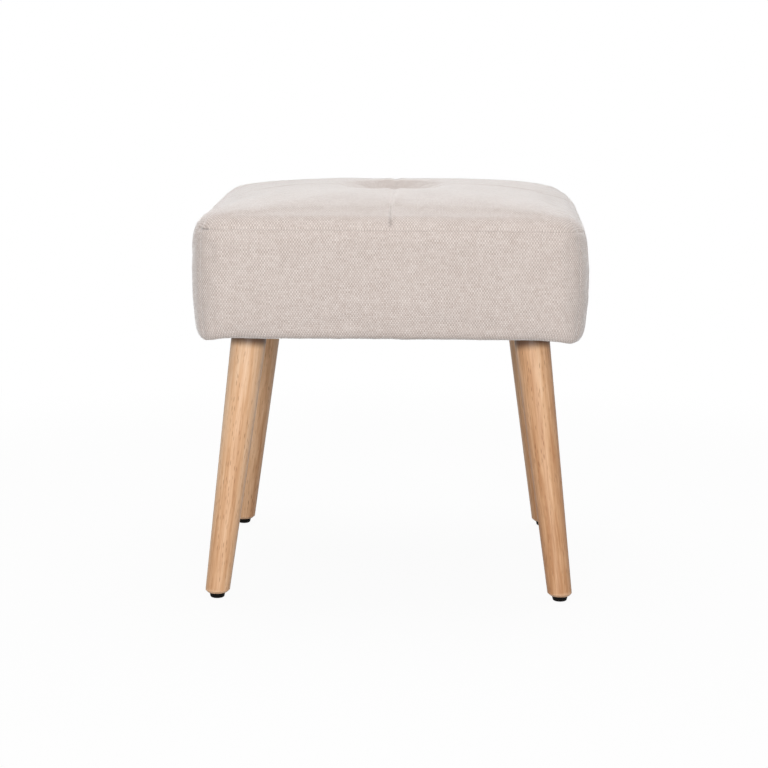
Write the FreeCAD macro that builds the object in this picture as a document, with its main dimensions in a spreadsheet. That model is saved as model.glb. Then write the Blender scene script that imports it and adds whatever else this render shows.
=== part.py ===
import FreeCAD, Part
import math
import os
import Sketcher

# An upholstered low stool: a padded, tufted seat box on four splayed round legs.
# The origin is on the floor under the middle of the seat. +Z is up and the front faces -Y.

Vector = FreeCAD.Vector
DOC = FreeCAD.newDocument("LowStool")

# The driving dimensions, in millimetres
SIZES = [
    # seat outline
    ("seat_width", "460", "seat cover, left to right"),
    ("seat_depth", "460", "seat cover, front to back"),
    ("underside_height", "318", "floor to the underside of the hem"),
    ("side_height", "146", "underside to the plane in which the top edges end"),
    ("crown_height", "17.8", "that plane to the highest ring of the crown"),
    ("plan_corner_radius", "35", "upright corners of the seat"),
    ("top_edge_radius", "27", "rounding from the sides to the top"),
    ("bottom_edge_radius", "12", "rounding from the sides to the hem"),
    ("side_draw", "1.7", "how far the sides draw in towards the hem"),
    ("seam_drop", "18", "plane of the top edges down to the seam of the top panel"),
    # tuft
    ("tuft_radius", "70", "rim of the dip round the tuft"),
    ("tuft_depth", "15.8", "rim of the dip to its floor"),
    ("tuft_floor_radius", "7", "flat floor of the dip"),
    ("twine_radius", "0.8", "tufting twine"),
    ("twine_spread", "6", "between the twine's two strands"),
    ("twine_bend_radius", "1.5", "turns of the twine at its two stitches"),
    ("anchor_radius", "15", "round anchor under the deck"),
    ("anchor_thickness", "3", "round anchor under the deck"),
    # soft layers
    ("cloth_thickness", "1.2", "seat cover"),
    ("wadding_thickness", "8", "fibre wrap under the cover"),
    ("soft_clearance", "0.3", "between a soft layer and its neighbour"),
    ("hem_inset", "28", "seat face to the inner edge of the hem"),
    ("dust_cloth_thickness", "0.6", "dust cover"),
    ("dust_cover_inset", "21", "seat face to the outer edge of the dust cover"),
    # frame
    ("rail_thickness", "18", "frame rails"),
    ("rail_height", "75", "frame rails"),
    ("deck_thickness", "9", "seat deck"),
    ("deck_hole_radius", "6", "needle hole in the deck"),
    ("frame_chamfer", "3", "eased lower edge of the frame"),
    ("block_side", "68", "corner blocks, in plan"),
    ("block_height", "40", "corner blocks"),
    ("block_chamfer", "20", "cut-off inner corner of the blocks"),
    # legs
    ("leg_inset", "62.6", "seat face to the middle of a leg's top"),
    ("leg_top_radius", "21.3", "leg at the seat"),
    ("leg_foot_radius", "14.6", "leg at the glide"),
    ("leg_splay_sideways", "38.1", "foot's middle outwards of the top's middle, to the side"),
    ("leg_splay_lengthways", "28", "foot's middle outwards of the top's middle, to the front or the back"),
    ("leg_foot_chamfer", "2.8", "lower edge of a leg"),
    ("leg_top_chamfer", "0.8", "upper edge of a leg"),
    # glides and their nails
    ("glide_height", "6.8", "glide"),
    ("glide_radius", "9.6", "glide against the leg"),
    ("glide_base_radius", "8.2", "glide near the floor, before its rounding"),
    ("glide_rounding", "2.6", "lower edge of the glide"),
    ("glide_floor", "1.6", "plastic under the nail's head"),
    ("nail_head_radius", "3", "glide nail"),
    ("nail_head_thickness", "1", "glide nail"),
    ("nail_radius", "1.1", "glide nail"),
    ("nail_length", "18", "glide nail, under its head"),
    ("nail_point", "3", "glide nail"),
    # leg hardware
    ("bolt_radius", "4", "hanger bolts"),
    ("bolt_in_leg", "38", "wood thread of a hanger bolt"),
    ("bolt_point", "7", "point of a hanger bolt"),
    ("bolt_point_radius", "1.2", "point of a hanger bolt"),
    ("bolt_stand_out", "6", "hanger bolt above the tee nut"),
    ("bolt_end_chamfer", "1", "upper end of a hanger bolt"),
    ("bolt_clearance", "0.5", "round a hanger bolt in wood or cloth"),
    ("thread_clearance", "0.05", "hanger bolt in its tee nut"),
    ("tee_flange_radius", "11", "tee nut"),
    ("tee_flange_thickness", "1.5", "tee nut"),
    ("tee_barrel_radius", "5", "tee nut"),
    ("tee_barrel_length", "9", "tee nut"),
    ("prong_width", "4", "tee nut"),
    ("prong_thickness", "1.2", "tee nut"),
    ("prong_length", "7", "tee nut"),
    # wood screws
    ("screw_radius", "2", "frame screws"),
    ("screw_head_radius", "4", "frame screws"),
    ("screw_head_depth", "2.4", "frame screws"),
    ("screw_point", "5", "frame screws"),
    ("recess_length", "4", "cross recess of a screw"),
    ("recess_width", "0.9", "cross recess of a screw"),
    ("recess_depth", "1.6", "cross recess of a screw"),
    ("frame_screw_length", "50", "rail to rail and rail to block"),
    ("deck_screw_length", "30", "deck to rail"),
    ("rail_screw_margin", "20", "rail's upper and lower edge to its screws"),
    ("block_screw_drop", "22", "frame's underside up to a block's screws"),
    ("block_screw_inset", "56", "rail's inner face to a block's screw"),
    ("deck_screw_spacing", "260", "between the two screws of one rail"),
    # staples
    ("staple_crown", "10", "staple"),
    ("staple_wire_width", "1", "staple"),
    ("staple_wire_thickness", "0.6", "staple"),
    ("staple_leg", "8", "staple, above its crown"),
    ("hem_staple_inset", "17.5", "seat face to the staples of the hem"),
    ("dust_staple_inset", "24.5", "seat face to the staples of the dust cover"),
    ("staple_margin", "45", "seat face to the first staple of a row"),
    # construction
    ("overrun", "2", "how far a cutting shape passes the face that it cuts"),
]
HEM_STAPLES_PER_SIDE = 10
DUST_STAPLES_PER_SIDE = 8

SHEET = DOC.addObject("Spreadsheet::Sheet", "Sizes")
for row, (alias, number, meaning) in enumerate(SIZES, start=1):
    SHEET.set(f"A{row}", alias)
    SHEET.set(f"B{row}", number)
    SHEET.set(f"C{row}", meaning)
    SHEET.setAlias(f"B{row}", alias)
DOC.recompute()


def S(alias):
    """The expression that reads one driving dimension."""
    return f"Sizes.{alias}"


def value(expression):
    """The number that an expression on the driving dimensions gives."""
    return float(SHEET.evalExpression(expression))


# How the plan corner tightens inwards: by the inset, and by the depth below the cover's face
CORNER_LOSS_SHARE = 0.35
LAYER_CORNER_LOSS_SHARE = 0.65

# Expressions that several pieces share
LAYERS = f"({S('cloth_thickness')} + {S('wadding_thickness')} + 2 * {S('soft_clearance')})"
FRAME_INSET = f"({S('side_draw')} + {LAYERS})"
FRAME_WIDTH = f"({S('seat_width')} - 2 * {FRAME_INSET})"
FRAME_DEPTH = f"({S('seat_depth')} - 2 * {FRAME_INSET})"
HOLLOW_CORNER_LOSS = (
    f"({CORNER_LOSS_SHARE} * ({FRAME_INSET} - {S('soft_clearance')})"
    f" + {LAYER_CORNER_LOSS_SHARE} * ({LAYERS} - {S('soft_clearance')}))"
)
FRAME_CORNER = f"({S('plan_corner_radius')} - {HOLLOW_CORNER_LOSS} - {S('soft_clearance')})"
# A rail screw's head lies in the rounded corner, clear of the wadding
HEAD_REACH = f"({FRAME_CORNER} - {S('rail_thickness')} / 2 + {S('screw_head_radius')})"
ROUNDING_DEPTH = f"({FRAME_CORNER} - sqrt({FRAME_CORNER} * {FRAME_CORNER} - {HEAD_REACH} * {HEAD_REACH}))"
RAIL_SCREW_SINK = f"({ROUNDING_DEPTH} + {S('soft_clearance')})"
FRAME_BOTTOM = f"({S('underside_height')} + {S('cloth_thickness')} + {S('soft_clearance')})"
DECK_BOTTOM = f"({FRAME_BOTTOM} + {S('rail_height')})"
DECK_TOP = f"({DECK_BOTTOM} + {S('deck_thickness')})"
BLOCK_TOP = f"({FRAME_BOTTOM} + {S('block_height')})"
LEG_TOP = f"({FRAME_BOTTOM} - {S('dust_cloth_thickness')})"
LEG_LENGTH = f"({LEG_TOP} - {S('glide_height')})"
TOP_PLANE = f"({S('underside_height')} + {S('side_height')})"
SEAM_HEIGHT = f"({TOP_PLANE} - {S('seam_drop')})"
TUFT_FLOOR = f"({TOP_PLANE} + {S('crown_height')} - {S('tuft_depth')})"
LEG_X = f"({S('seat_width')} / 2 - {S('leg_inset')})"
LEG_Y = f"({S('seat_depth')} / 2 - {S('leg_inset')})"
# From the middle of a leg's top to the inner faces of the two rails beside it
BLOCK_REACH = f"({S('leg_inset')} - {FRAME_INSET} - {S('rail_thickness')})"
BOLT_HOLE = f"({S('bolt_radius')} + {S('bolt_clearance')})"
STRAND_X = f"({S('twine_spread')} / 2)"

# Each corner's name, its side in X and in Y, and the turn that takes the right back one there
CORNERS = [
    ("back_right", 1, 1, 0),
    ("back_left", -1, 1, 90),
    ("front_left", -1, -1, 180),
    ("front_right", 1, -1, 270),
]
# Each side's name, the way it faces, and the turn that takes the front there
SIDES = [
    ("front", 0, -1, 0),
    ("right", 1, 0, 90),
    ("back", 0, 1, 180),
    ("left", -1, 0, 270),
]
SUBPARTS = []


# Helpers that build and bind document objects

def bind(item, expressions):
    """Bind properties of an object to expressions on the driving dimensions."""
    for name, expression in expressions.items():
        item.setExpression(name, expression)
    return item


def place(item, x="0", y="0", z="0", axis=Vector(0, 0, 1), turn=0):
    """Turn an object about an axis and bind its place."""
    item.Placement = FreeCAD.Placement(Vector(), FreeCAD.Rotation(axis, turn))
    return bind(item, {"Placement.Base.x": x, "Placement.Base.y": y, "Placement.Base.z": z})


def subpart(item, label):
    """Name an object as one of the stool's pieces."""
    item.Label = label
    SUBPARTS.append(item)
    return item


def new_body(name):
    """An empty body."""
    return DOC.addObject("PartDesign::Body", name)


def new_sketch(body, plane="XY_Plane", height=None):
    """A sketch on one of the body's own planes, raised by an expression."""
    sketch = body.newObject("Sketcher::SketchObject", f"{body.Name}_sketch")
    origin_plane = next(f for f in body.Origin.OriginFeatures if f.Role == plane)
    sketch.AttachmentSupport = (origin_plane, [""])
    sketch.MapMode = "FlatFace"
    if height:
        sketch.setExpression("AttachmentOffset.Base.z", height)
    return sketch


def pin_point(sketch, edge, vertex, x, y):
    """Hold a point of a sketch at two expressions, measured from the sketch's origin."""
    for kind, expression, axis in (("DistanceX", x, -2), ("DistanceY", y, -1)):
        if expression == "0":
            sketch.addConstraint(Sketcher.Constraint("PointOnObject", edge, vertex, axis))
        else:
            start = value(expression)
            index = sketch.addConstraint(Sketcher.Constraint(kind, -1, 1, edge, vertex, start))
            sketch.setExpression(f"Constraints[{index}]", expression)


def draw_polygon(sketch, points):
    """Draw a closed outline through points that are pairs of expressions."""
    first = sketch.GeometryCount
    corners = [Vector(value(x), value(y), 0) for x, y in points]
    for here, there in zip(corners, corners[1:] + corners[:1]):
        sketch.addGeometry(Part.LineSegment(here, there), False)
    for k in range(len(points)):
        following = first + (k + 1) % len(points)
        sketch.addConstraint(Sketcher.Constraint("Coincident", first + k, 2, following, 1))
    for k, (x, y) in enumerate(points):
        pin_point(sketch, first + k, 1, x, y)
    return sketch


def draw_circle(sketch, radius, x="0", y="0"):
    """Draw a circle whose radius and middle are expressions."""
    middle = Vector(value(x), value(y), 0)
    index = sketch.addGeometry(Part.Circle(middle, Vector(0, 0, 1), value(radius)), False)
    pin_point(sketch, index, 3, x, y)
    constraint = sketch.addConstraint(Sketcher.Constraint("Radius", index, value(radius)))
    sketch.setExpression(f"Constraints[{constraint}]", radius)
    return sketch


def rectangle(half_x, half_y):
    """The corners of a rectangle about the sketch's origin."""
    return [
        (f"-({half_x})", f"-({half_y})"),
        (f"({half_x})", f"-({half_y})"),
        (f"({half_x})", f"({half_y})"),
        (f"-({half_x})", f"({half_y})"),
    ]


def pad(body, sketch, length, downwards=False):
    """Pad a sketch by an expression."""
    feature = body.newObject("PartDesign::Pad", f"{body.Name}_pad")
    feature.Profile = sketch
    feature.Reversed = downwards
    return bind(feature, {"Length": length})


def pocket(body, sketch, depth, upwards=False):
    """Cut a sketch's shape out of a body, and check that it does cut."""
    DOC.recompute()
    before = body.Shape.Volume
    feature = body.newObject("PartDesign::Pocket", f"{body.Name}_pocket")
    feature.Profile = sketch
    feature.Reversed = upwards
    bind(feature, {"Length": depth})
    DOC.recompute()
    if not body.Shape.Volume < before:
        raise RuntimeError(f"a pocket of {body.Name} cuts nothing")
    return feature


def revolve(body, points):
    """Turn an outline of radius and height round the body's upright axis."""
    sketch = draw_polygon(new_sketch(body, "XZ_Plane"), points)
    feature = body.newObject("PartDesign::Revolution", f"{body.Name}_turned")
    feature.Profile = sketch
    feature.ReferenceAxis = (sketch, ["V_Axis"])
    return feature


def soften(body, kind, feature, size, wanted):
    """Add a Fillet or a Chamfer on the edges of a feature that a test picks out."""
    DOC.recompute()
    names = [f"Edge{k}" for k, edge in enumerate(feature.Shape.Edges, start=1) if wanted(edge)]
    softened = body.newObject(f"PartDesign::{kind}", f"{body.Name}_{kind.lower()}")
    softened.Base = (feature, names)
    return bind(softened, {"Radius" if kind == "Fillet" else "Size": size})


def upright(edge):
    """Whether an edge stands straight up."""
    run = edge.lastVertex().Point - edge.firstVertex().Point
    return Vector(run.x, run.y, 0).Length < Part.Precision.confusion() < abs(run.z)


def level_at(height):
    """A test for edges that lie at one height."""
    level = value(height)

    def lies_there(edge):
        box = edge.BoundBox
        return max(abs(box.ZMin - level), abs(box.ZMax - level)) < Part.Precision.confusion()

    return lies_there


def polar(body, feature, count):
    """Repeat a feature round the body's upright axis."""
    pattern = body.newObject("PartDesign::PolarPattern", f"{body.Name}_pattern")
    pattern.Originals = [feature]
    axis = next(f for f in body.Origin.OriginFeatures if f.Role == "Z_Axis")
    pattern.Axis = (axis, [""])
    pattern.Angle = 360
    pattern.Occurrences = count
    body.Tip = pattern
    return pattern


def linked(source, x="0", y="0", z="0", axis=Vector(0, 0, 1), turn=0):
    """One more copy of an object, in its own place."""
    link = DOC.addObject("App::Link", f"{source.Name}_copy")
    link.LinkedObject = source
    return place(link, x, y, z, axis, turn)


def gathered(items, name):
    """Several objects as one, such as the tools that bore a piece."""
    group = DOC.addObject("Part::Compound", name)
    group.Links = items
    return group


def grouped(items, label):
    """Identical fasteners as one piece of separate solids."""
    return subpart(gathered(items, label), label)


def joined(kind, base, tool, name):
    """A Part boolean of two objects."""
    result = DOC.addObject(f"Part::{kind}", name)
    result.Base = base
    result.Tool = tool
    return result


def at_corner(side_x, side_y):
    """Where a corner's leg meets the seat."""
    return f"{side_x} * {LEG_X}", f"{side_y} * {LEG_Y}"


# Fasteners

def wood_screw(name, length, recessed):
    """A countersunk screw with its head's top at the origin, or the bore that takes it."""
    body = new_body(name)
    shank_end = f"-({length} - {S('screw_point')})"
    outline = [
        (S("screw_head_radius"), "0"),
        (S("screw_radius"), f"-{S('screw_head_depth')}"),
        (S("screw_radius"), shank_end),
        ("0", f"-({length})"),
    ]
    if recessed:
        revolve(body, [("0", "0")] + outline)
    else:
        revolve(body, [("0", FRAME_CORNER), (S("screw_head_radius"), FRAME_CORNER)] + outline)
    if not recessed:
        return body
    arm = f"({S('recess_length')} / 2)"
    edge = f"({S('recess_width')} / 2)"
    cross = [
        (arm, f"-{edge}"), (arm, edge), (edge, edge), (edge, arm),
        (f"-{edge}", arm), (f"-{edge}", edge), (f"-{arm}", edge), (f"-{arm}", f"-{edge}"),
        (f"-{edge}", f"-{edge}"), (f"-{edge}", f"-{arm}"), (edge, f"-{arm}"), (edge, f"-{edge}"),
    ]
    pocket(body, draw_polygon(new_sketch(body), cross), S("recess_depth"))
    return body


def frame_screws(source):
    """Two screws through each end of the front and back rails into the side rails."""
    screws = []
    across = f"({FRAME_WIDTH} / 2 - {S('rail_thickness')} / 2)"
    low = f"({FRAME_BOTTOM} + {S('rail_screw_margin')})"
    high = f"({DECK_BOTTOM} - {S('rail_screw_margin')})"
    for _, side_x, side_y, _ in CORNERS:
        for height in (low, high):
            x = f"{side_x} * {across}"
            y = f"{side_y} * ({FRAME_DEPTH} / 2 - {RAIL_SCREW_SINK})"
            screws.append(linked(source, x, y, height, Vector(1, 0, 0), -90 * side_y))
    return screws


def block_screws(source):
    """One screw through each of the two rails that a corner block lies against."""
    screws = []
    height = f"({FRAME_BOTTOM} + {S('block_screw_drop')})"
    for _, side_x, side_y, _ in CORNERS:
        inward = f"({FRAME_INSET} + {S('rail_thickness')} + {S('block_screw_inset')})"
        x = f"{side_x} * ({S('seat_width')} / 2 - {inward})"
        y = f"{side_y} * {FRAME_DEPTH} / 2"
        screws.append(linked(source, x, y, height, Vector(1, 0, 0), -90 * side_y))
        x = f"{side_x} * {FRAME_WIDTH} / 2"
        y = f"{side_y} * ({S('seat_depth')} / 2 - {inward})"
        screws.append(linked(source, x, y, height, Vector(0, 1, 0), 90 * side_x))
    return screws


def deck_screws(source):
    """Two screws down through the deck into each rail."""
    screws = []
    along = f"({S('deck_screw_spacing')} / 2)"
    for _, way_x, way_y, _ in SIDES:
        for end in (-1, 1):
            x = f"{way_x} * ({FRAME_WIDTH} - {S('rail_thickness')}) / 2 + {way_y * end} * {along}"
            y = f"{way_y} * ({FRAME_DEPTH} - {S('rail_thickness')}) / 2 + {way_x * end} * {along}"
            screws.append(linked(source, x, y, DECK_TOP))
    return screws


def staple():
    """A staple along X with its crown just under the origin and its legs up."""
    body = new_body("staple")
    half = f"({S('staple_crown')} / 2)"
    inner = f"({half} - {S('staple_wire_width')})"
    outline = [
        (f"-{half}", f"-{S('staple_wire_thickness')}"), (half, f"-{S('staple_wire_thickness')}"),
        (half, S("staple_leg")), (inner, S("staple_leg")), (inner, "0"),
        (f"-{inner}", "0"), (f"-{inner}", S("staple_leg")), (f"-{half}", S("staple_leg")),
    ]
    feature = pad(body, draw_polygon(new_sketch(body, "XZ_Plane"), outline), S("staple_wire_width"))
    feature.Midplane = True
    return body


def staple_rows(source, label, inset, height, count):
    """A row of staples along each side of the seat."""
    rows = []
    for _, way_x, way_y, turn in SIDES:
        out = S("seat_width") if way_x else S("seat_depth")
        run = S("seat_depth") if way_x else S("seat_width")
        for k in range(count):
            along = f"({run} - 2 * {S('staple_margin')}) * ({k} / {count - 1} - 0.5)"
            x = f"{way_x} * ({out} / 2 - {inset})" if way_x else along
            y = along if way_x else f"{way_y} * ({out} / 2 - {inset})"
            rows.append(linked(source, x, y, height, turn=turn))
    return grouped(rows, label)


def tee_nut():
    """A pronged nut with its flange's underside at the origin."""
    body = new_body("tee_nut")
    pad(body, draw_circle(new_sketch(body), S("tee_flange_radius")), S("tee_flange_thickness"))
    pad(body, draw_circle(new_sketch(body), S("tee_barrel_radius")), S("tee_barrel_length"), True)
    prong = pad(body, draw_polygon(new_sketch(body), prong_outline()), S("prong_length"), True)
    DOC.recompute()
    polar(body, prong, 4)
    bore = new_sketch(body, height=S("tee_flange_thickness"))
    draw_circle(bore, f"{S('bolt_radius')} + {S('thread_clearance')}")
    last = pocket(body, bore, f"{S('tee_flange_thickness')} + {S('tee_barrel_length')} + {S('overrun')}")
    body.Tip = last
    return body


def prong_outline():
    """A prong's section at the rim of the flange, across X."""
    outer = f"({S('tee_flange_radius')} - {S('prong_thickness')} / 2)"
    inner = f"({outer} - {S('prong_thickness')})"
    half = f"({S('prong_width')} / 2)"
    return [(inner, f"-{half}"), (outer, f"-{half}"), (outer, half), (inner, half)]


def hanger_bolt():
    """A bolt with a wood thread below the origin and a machine thread above it."""
    body = new_body("hanger_bolt")
    tip = f"-{S('bolt_in_leg')}"
    top = f"({BLOCK_TOP} - {LEG_TOP} + {S('tee_flange_thickness')} + {S('bolt_stand_out')})"
    revolve(body, [
        ("0", tip),
        (S("bolt_point_radius"), tip),
        (S("bolt_radius"), f"{tip} + {S('bolt_point')}"),
        (S("bolt_radius"), f"{top} - {S('bolt_end_chamfer')}"),
        (f"{S('bolt_radius')} - {S('bolt_end_chamfer')}", top),
        ("0", top),
    ])
    return body


def glide_nail():
    """A glide's nail, in the glide's own place."""
    body = new_body("glide_nail")
    head_top = f"({S('glide_floor')} + {S('nail_head_thickness')})"
    tip = f"({head_top} + {S('nail_length')})"
    revolve(body, [
        ("0", S("glide_floor")),
        (S("nail_head_radius"), S("glide_floor")),
        (S("nail_head_radius"), head_top),
        (S("nail_radius"), head_top),
        (S("nail_radius"), f"{tip} - {S('nail_point')}"),
        ("0", tip),
    ])
    return body


# Frame

def frame_block(name, bottom, height, chamfered):
    """The frame's outer form, with rounded upright corners, from one height up."""
    body = new_body(name)
    sketch = new_sketch(body, height=bottom)
    draw_polygon(sketch, rectangle(f"{FRAME_WIDTH} / 2", f"{FRAME_DEPTH} / 2"))
    block = pad(body, sketch, height)
    block = soften(body, "Fillet", block, FRAME_CORNER, upright)
    if chamfered:
        soften(body, "Chamfer", block, S("frame_chamfer"), level_at(bottom))
    return body


def rails(fasteners):
    """Four rails: the front and back ones run the full width, the side ones lie between."""
    outline = frame_block("frame_outline", FRAME_BOTTOM, S("rail_height"), True)
    between = f"({FRAME_DEPTH} - 2 * {S('rail_thickness')})"
    for name, way_x, way_y, _ in SIDES:
        length = S("rail_thickness") if way_x else FRAME_WIDTH
        width = between if way_x else S("rail_thickness")
        blank = DOC.addObject("Part::Box", f"{name}_rail_blank")
        bind(blank, {"Length": length, "Width": width, "Height": S("rail_height")})
        x = f"{way_x} * ({FRAME_WIDTH} - {S('rail_thickness')}) / 2 - {length} / 2"
        y = f"{way_y} * ({FRAME_DEPTH} - {S('rail_thickness')}) / 2 - {width} / 2"
        place(blank, x, y, FRAME_BOTTOM)
        rounded = joined("Common", blank, outline, f"{name}_rail_rounded")
        subpart(joined("Cut", rounded, fasteners, f"{name}_rail"), f"{name}_rail")


def seat_deck(screws):
    """The deck over the rails, with the needle hole in its middle."""
    body = frame_block("deck_board", DECK_BOTTOM, S("deck_thickness"), False)
    hole = draw_circle(new_sketch(body, height=DECK_TOP), S("deck_hole_radius"))
    pocket(body, hole, f"{S('deck_thickness')} + {S('overrun')}")
    subpart(joined("Cut", body, screws, "seat_deck"), "seat_deck")


def corner_block(name, side_x, side_y, turn, screws):
    """A block in one corner of the frame, bored for the leg's bolt and its tee nut."""
    body = new_body(f"{name}_block_blank")
    inner = f"({BLOCK_REACH} - {S('block_side')})"
    cut = f"({inner} + {S('block_chamfer')})"
    sketch = new_sketch(body, height=FRAME_BOTTOM)
    draw_polygon(sketch, [
        (cut, inner), (BLOCK_REACH, inner), (BLOCK_REACH, BLOCK_REACH), (inner, BLOCK_REACH), (inner, cut),
    ])
    pad(body, sketch, S("block_height"))
    bolt_hole = draw_circle(new_sketch(body, height=BLOCK_TOP), BOLT_HOLE)
    pocket(body, bolt_hole, f"{S('block_height')} + {S('overrun')}")
    barrel = draw_circle(new_sketch(body, height=BLOCK_TOP), S("tee_barrel_radius"))
    pocket(body, barrel, S("tee_barrel_length"))
    prong = draw_polygon(new_sketch(body, height=BLOCK_TOP), prong_outline())
    polar(body, pocket(body, prong, S("prong_length")), 4)
    x, y = at_corner(side_x, side_y)
    place(body, x, y, turn=turn)
    label = f"corner_block_{name}"
    subpart(joined("Cut", body, screws, label), label)


# Legs

def leg_section(body, splays, up, eased):
    """A round section of a leg at a height above its foot, with its edge eased by a chamfer."""
    share = f"({up}) / {LEG_LENGTH}"
    taper = f"({S('leg_top_radius')} - {S('leg_foot_radius')})"
    radius = f"{S('leg_foot_radius')} + {taper} * {share} - {eased}"
    first, second = [f"{splay} * (1 - {share})" for splay in splays]
    return draw_circle(new_sketch(body, height=f"{S('glide_height')} + {up}"), radius, first, second)


def leg(name, side_x, side_y, turn):
    """A tapered round leg, leaning out of the corner, its ends level with the floor."""
    body = new_body(f"leg_{name}")
    # A leg is drawn for the back right corner; a quarter turn swaps its two splays
    splays = [S("leg_splay_sideways"), S("leg_splay_lengthways")]
    if side_x != side_y:
        splays.reverse()
    sections = [
        leg_section(body, splays, "0", S("leg_foot_chamfer")),
        leg_section(body, splays, S("leg_foot_chamfer"), "0"),
        leg_section(body, splays, f"{LEG_LENGTH} - {S('leg_top_chamfer')}", "0"),
        leg_section(body, splays, LEG_LENGTH, S("leg_top_chamfer")),
    ]
    loft = body.newObject("PartDesign::AdditiveLoft", f"{body.Name}_loft")
    loft.Profile = sections[0]
    loft.Sections = sections[1:]
    loft.Ruled = True
    bolt_bore = draw_circle(new_sketch(body, height=LEG_TOP), S("bolt_radius"))
    pocket(body, bolt_bore, S("bolt_in_leg"))
    nail_bore = new_sketch(body, height=S("glide_height"))
    draw_circle(nail_bore, S("nail_radius"), *splays)
    nail_top = f"{S('glide_floor')} + {S('nail_head_thickness')} + {S('nail_length')}"
    pocket(body, nail_bore, f"{nail_top} - {S('glide_height')}", upwards=True)
    x, y = at_corner(side_x, side_y)
    place(body, x, y, turn=turn)
    subpart(body, f"leg_{name}")


def foot_place(side_x, side_y):
    """Where a leg stands on its glide."""
    x = f"{side_x} * ({LEG_X} + {S('leg_splay_sideways')})"
    y = f"{side_y} * ({LEG_Y} + {S('leg_splay_lengthways')})"
    return x, y


def glide(name, side_x, side_y):
    """A black glide moulded round its nail's head."""
    body = new_body(f"glide_{name}")
    head_top = f"({S('glide_floor')} + {S('nail_head_thickness')})"
    turned = revolve(body, [
        ("0", "0"),
        (S("glide_base_radius"), "0"),
        (S("glide_radius"), S("glide_height")),
        (S("nail_radius"), S("glide_height")),
        (S("nail_radius"), head_top),
        (S("nail_head_radius"), head_top),
        (S("nail_head_radius"), S("glide_floor")),
        ("0", S("glide_floor")),
    ])
    soften(body, "Fillet", turned, S("glide_rounding"), level_at("0"))
    x, y = foot_place(side_x, side_y)
    place(body, x, y)
    subpart(body, f"glide_{name}")


# Soft layers

# Angles at which rings lie on the rounding under and over the sides, in degrees
BOTTOM_RING_ANGLES = (0, 30, 60, 90)
TOP_RING_ANGLES = (0, 24, 47, 70)
# Heights of the rings on the sides, as shares of the straight part
SIDE_RING_SHARES = (0.07, 0.3, 0.7, 0.93)
# Rings of the crown and of the dip, as shares of the way in
CROWN_RING_SHARES = (0.08, 0.2, 0.4, 0.7, 1.0)
DIP_RING_SHARES = (0.15, 0.45, 0.75, 1.0)
CROWN_POWER = 2.2
DRAW_POWER = 1.5
# How round the rings are: near the edge they keep the seat's corners, at the dip they are almost circles
ROUND_SHARE = 0.9
LEAST_CORNER_SHARE = 0.12


def seat_profile(hollow):
    """Rings of the seat from the hem to the dip's floor: inset, height, roundness share.

    A hollow's sides run straight down to the underside, where a solid's are rounded under.
    """
    draw = value(S("side_draw"))
    low = value(S("underside_height"))
    high = value(TOP_PLANE)
    bottom = value(S("bottom_edge_radius"))
    top = value(S("top_edge_radius"))
    half = min(value(S("seat_width")), value(S("seat_depth"))) / 2
    rings = []
    for angle in BOTTOM_RING_ANGLES:
        turned = math.radians(angle)
        under = 0 if hollow else bottom * (1 - math.sin(turned))
        rings.append((draw + under, low + bottom * (1 - math.cos(turned)), 0))
    straight = high - top - low - bottom
    for share in SIDE_RING_SHARES:
        rings.append((draw * (1 - share) ** DRAW_POWER, low + bottom + straight * share, 0))
    for angle in TOP_RING_ANGLES:
        turned = math.radians(angle)
        rings.append((top * (1 - math.cos(turned)), high - top + top * math.sin(turned), 0))
    edge_inset, edge_height, _ = rings[-1]
    rim_inset = half - value(S("tuft_radius"))
    rim_height = high + value(S("crown_height"))
    for share in CROWN_RING_SHARES:
        rise = 1 - (1 - share) ** CROWN_POWER
        inset = edge_inset + (rim_inset - edge_inset) * share
        rings.append((inset, edge_height + (rim_height - edge_height) * rise, share))
    floor_inset = half - value(S("tuft_floor_radius"))
    for share in DIP_RING_SHARES:
        fall = (1 - math.cos(math.pi * share)) / 2
        inset = rim_inset + (floor_inset - rim_inset) * share
        rings.append((inset, rim_height - value(S("tuft_depth")) * fall, 1))
    return rings


def inward_steps(rings, hollow):
    """The unit step into the seat at each ring, as a change of inset and a change of height."""
    steps = [(1, 0) if hollow else (0, 1)]
    for before, after in zip(rings, rings[2:]):
        run = after[0] - before[0]
        rise = after[1] - before[1]
        length = math.hypot(run, rise)
        steps.append((rise / length, -run / length))
    steps.append((0, -1))
    return steps


def ring_wire(ring, step, depth):
    """A rectangle with quarter-circle corners, at one ring of the seat moved in by a depth."""
    inset, height, roundness = ring
    inset = inset + step[0] * depth
    height = height + step[1] * depth
    halves = (value(S("seat_width")) / 2 - inset, value(S("seat_depth")) / 2 - inset)
    corner = value(S("plan_corner_radius"))
    least = corner * LEAST_CORNER_SHARE
    radius = max(corner - inset * CORNER_LOSS_SHARE - depth * LAYER_CORNER_LOSS_SHARE, least)
    widest = ROUND_SHARE * min(halves)
    radius = min(radius + (widest - radius) * roundness, widest)
    part_way = radius * (1 - math.sqrt(2) / 2)
    edges = []
    for k, turn in enumerate((0, 90, 180, 270)):
        out, along = halves[k % 2], halves[1 - k % 2]
        turned = FreeCAD.Rotation(Vector(0, 0, 1), turn)
        places = (
            (out, radius - along),
            (out, along - radius),
            (out - part_way, along - part_way),
            (out - radius, along),
        )
        first, last, middle, following = [turned.multVec(Vector(x, y, height)) for x, y in places]
        edges.append(Part.LineSegment(first, last).toShape())
        edges.append(Part.Arc(last, middle, following).toShape())
    return Part.Wire(edges)


def seat_form(depth, hollow=False):
    """The solid inside one depth of the seat: crowned, tufted and drawn in."""
    rings = seat_profile(hollow)
    wires = [ring_wire(ring, step, depth) for ring, step in zip(rings, inward_steps(rings, hollow))]
    return Part.makeLoft(wires, True, False)


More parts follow.
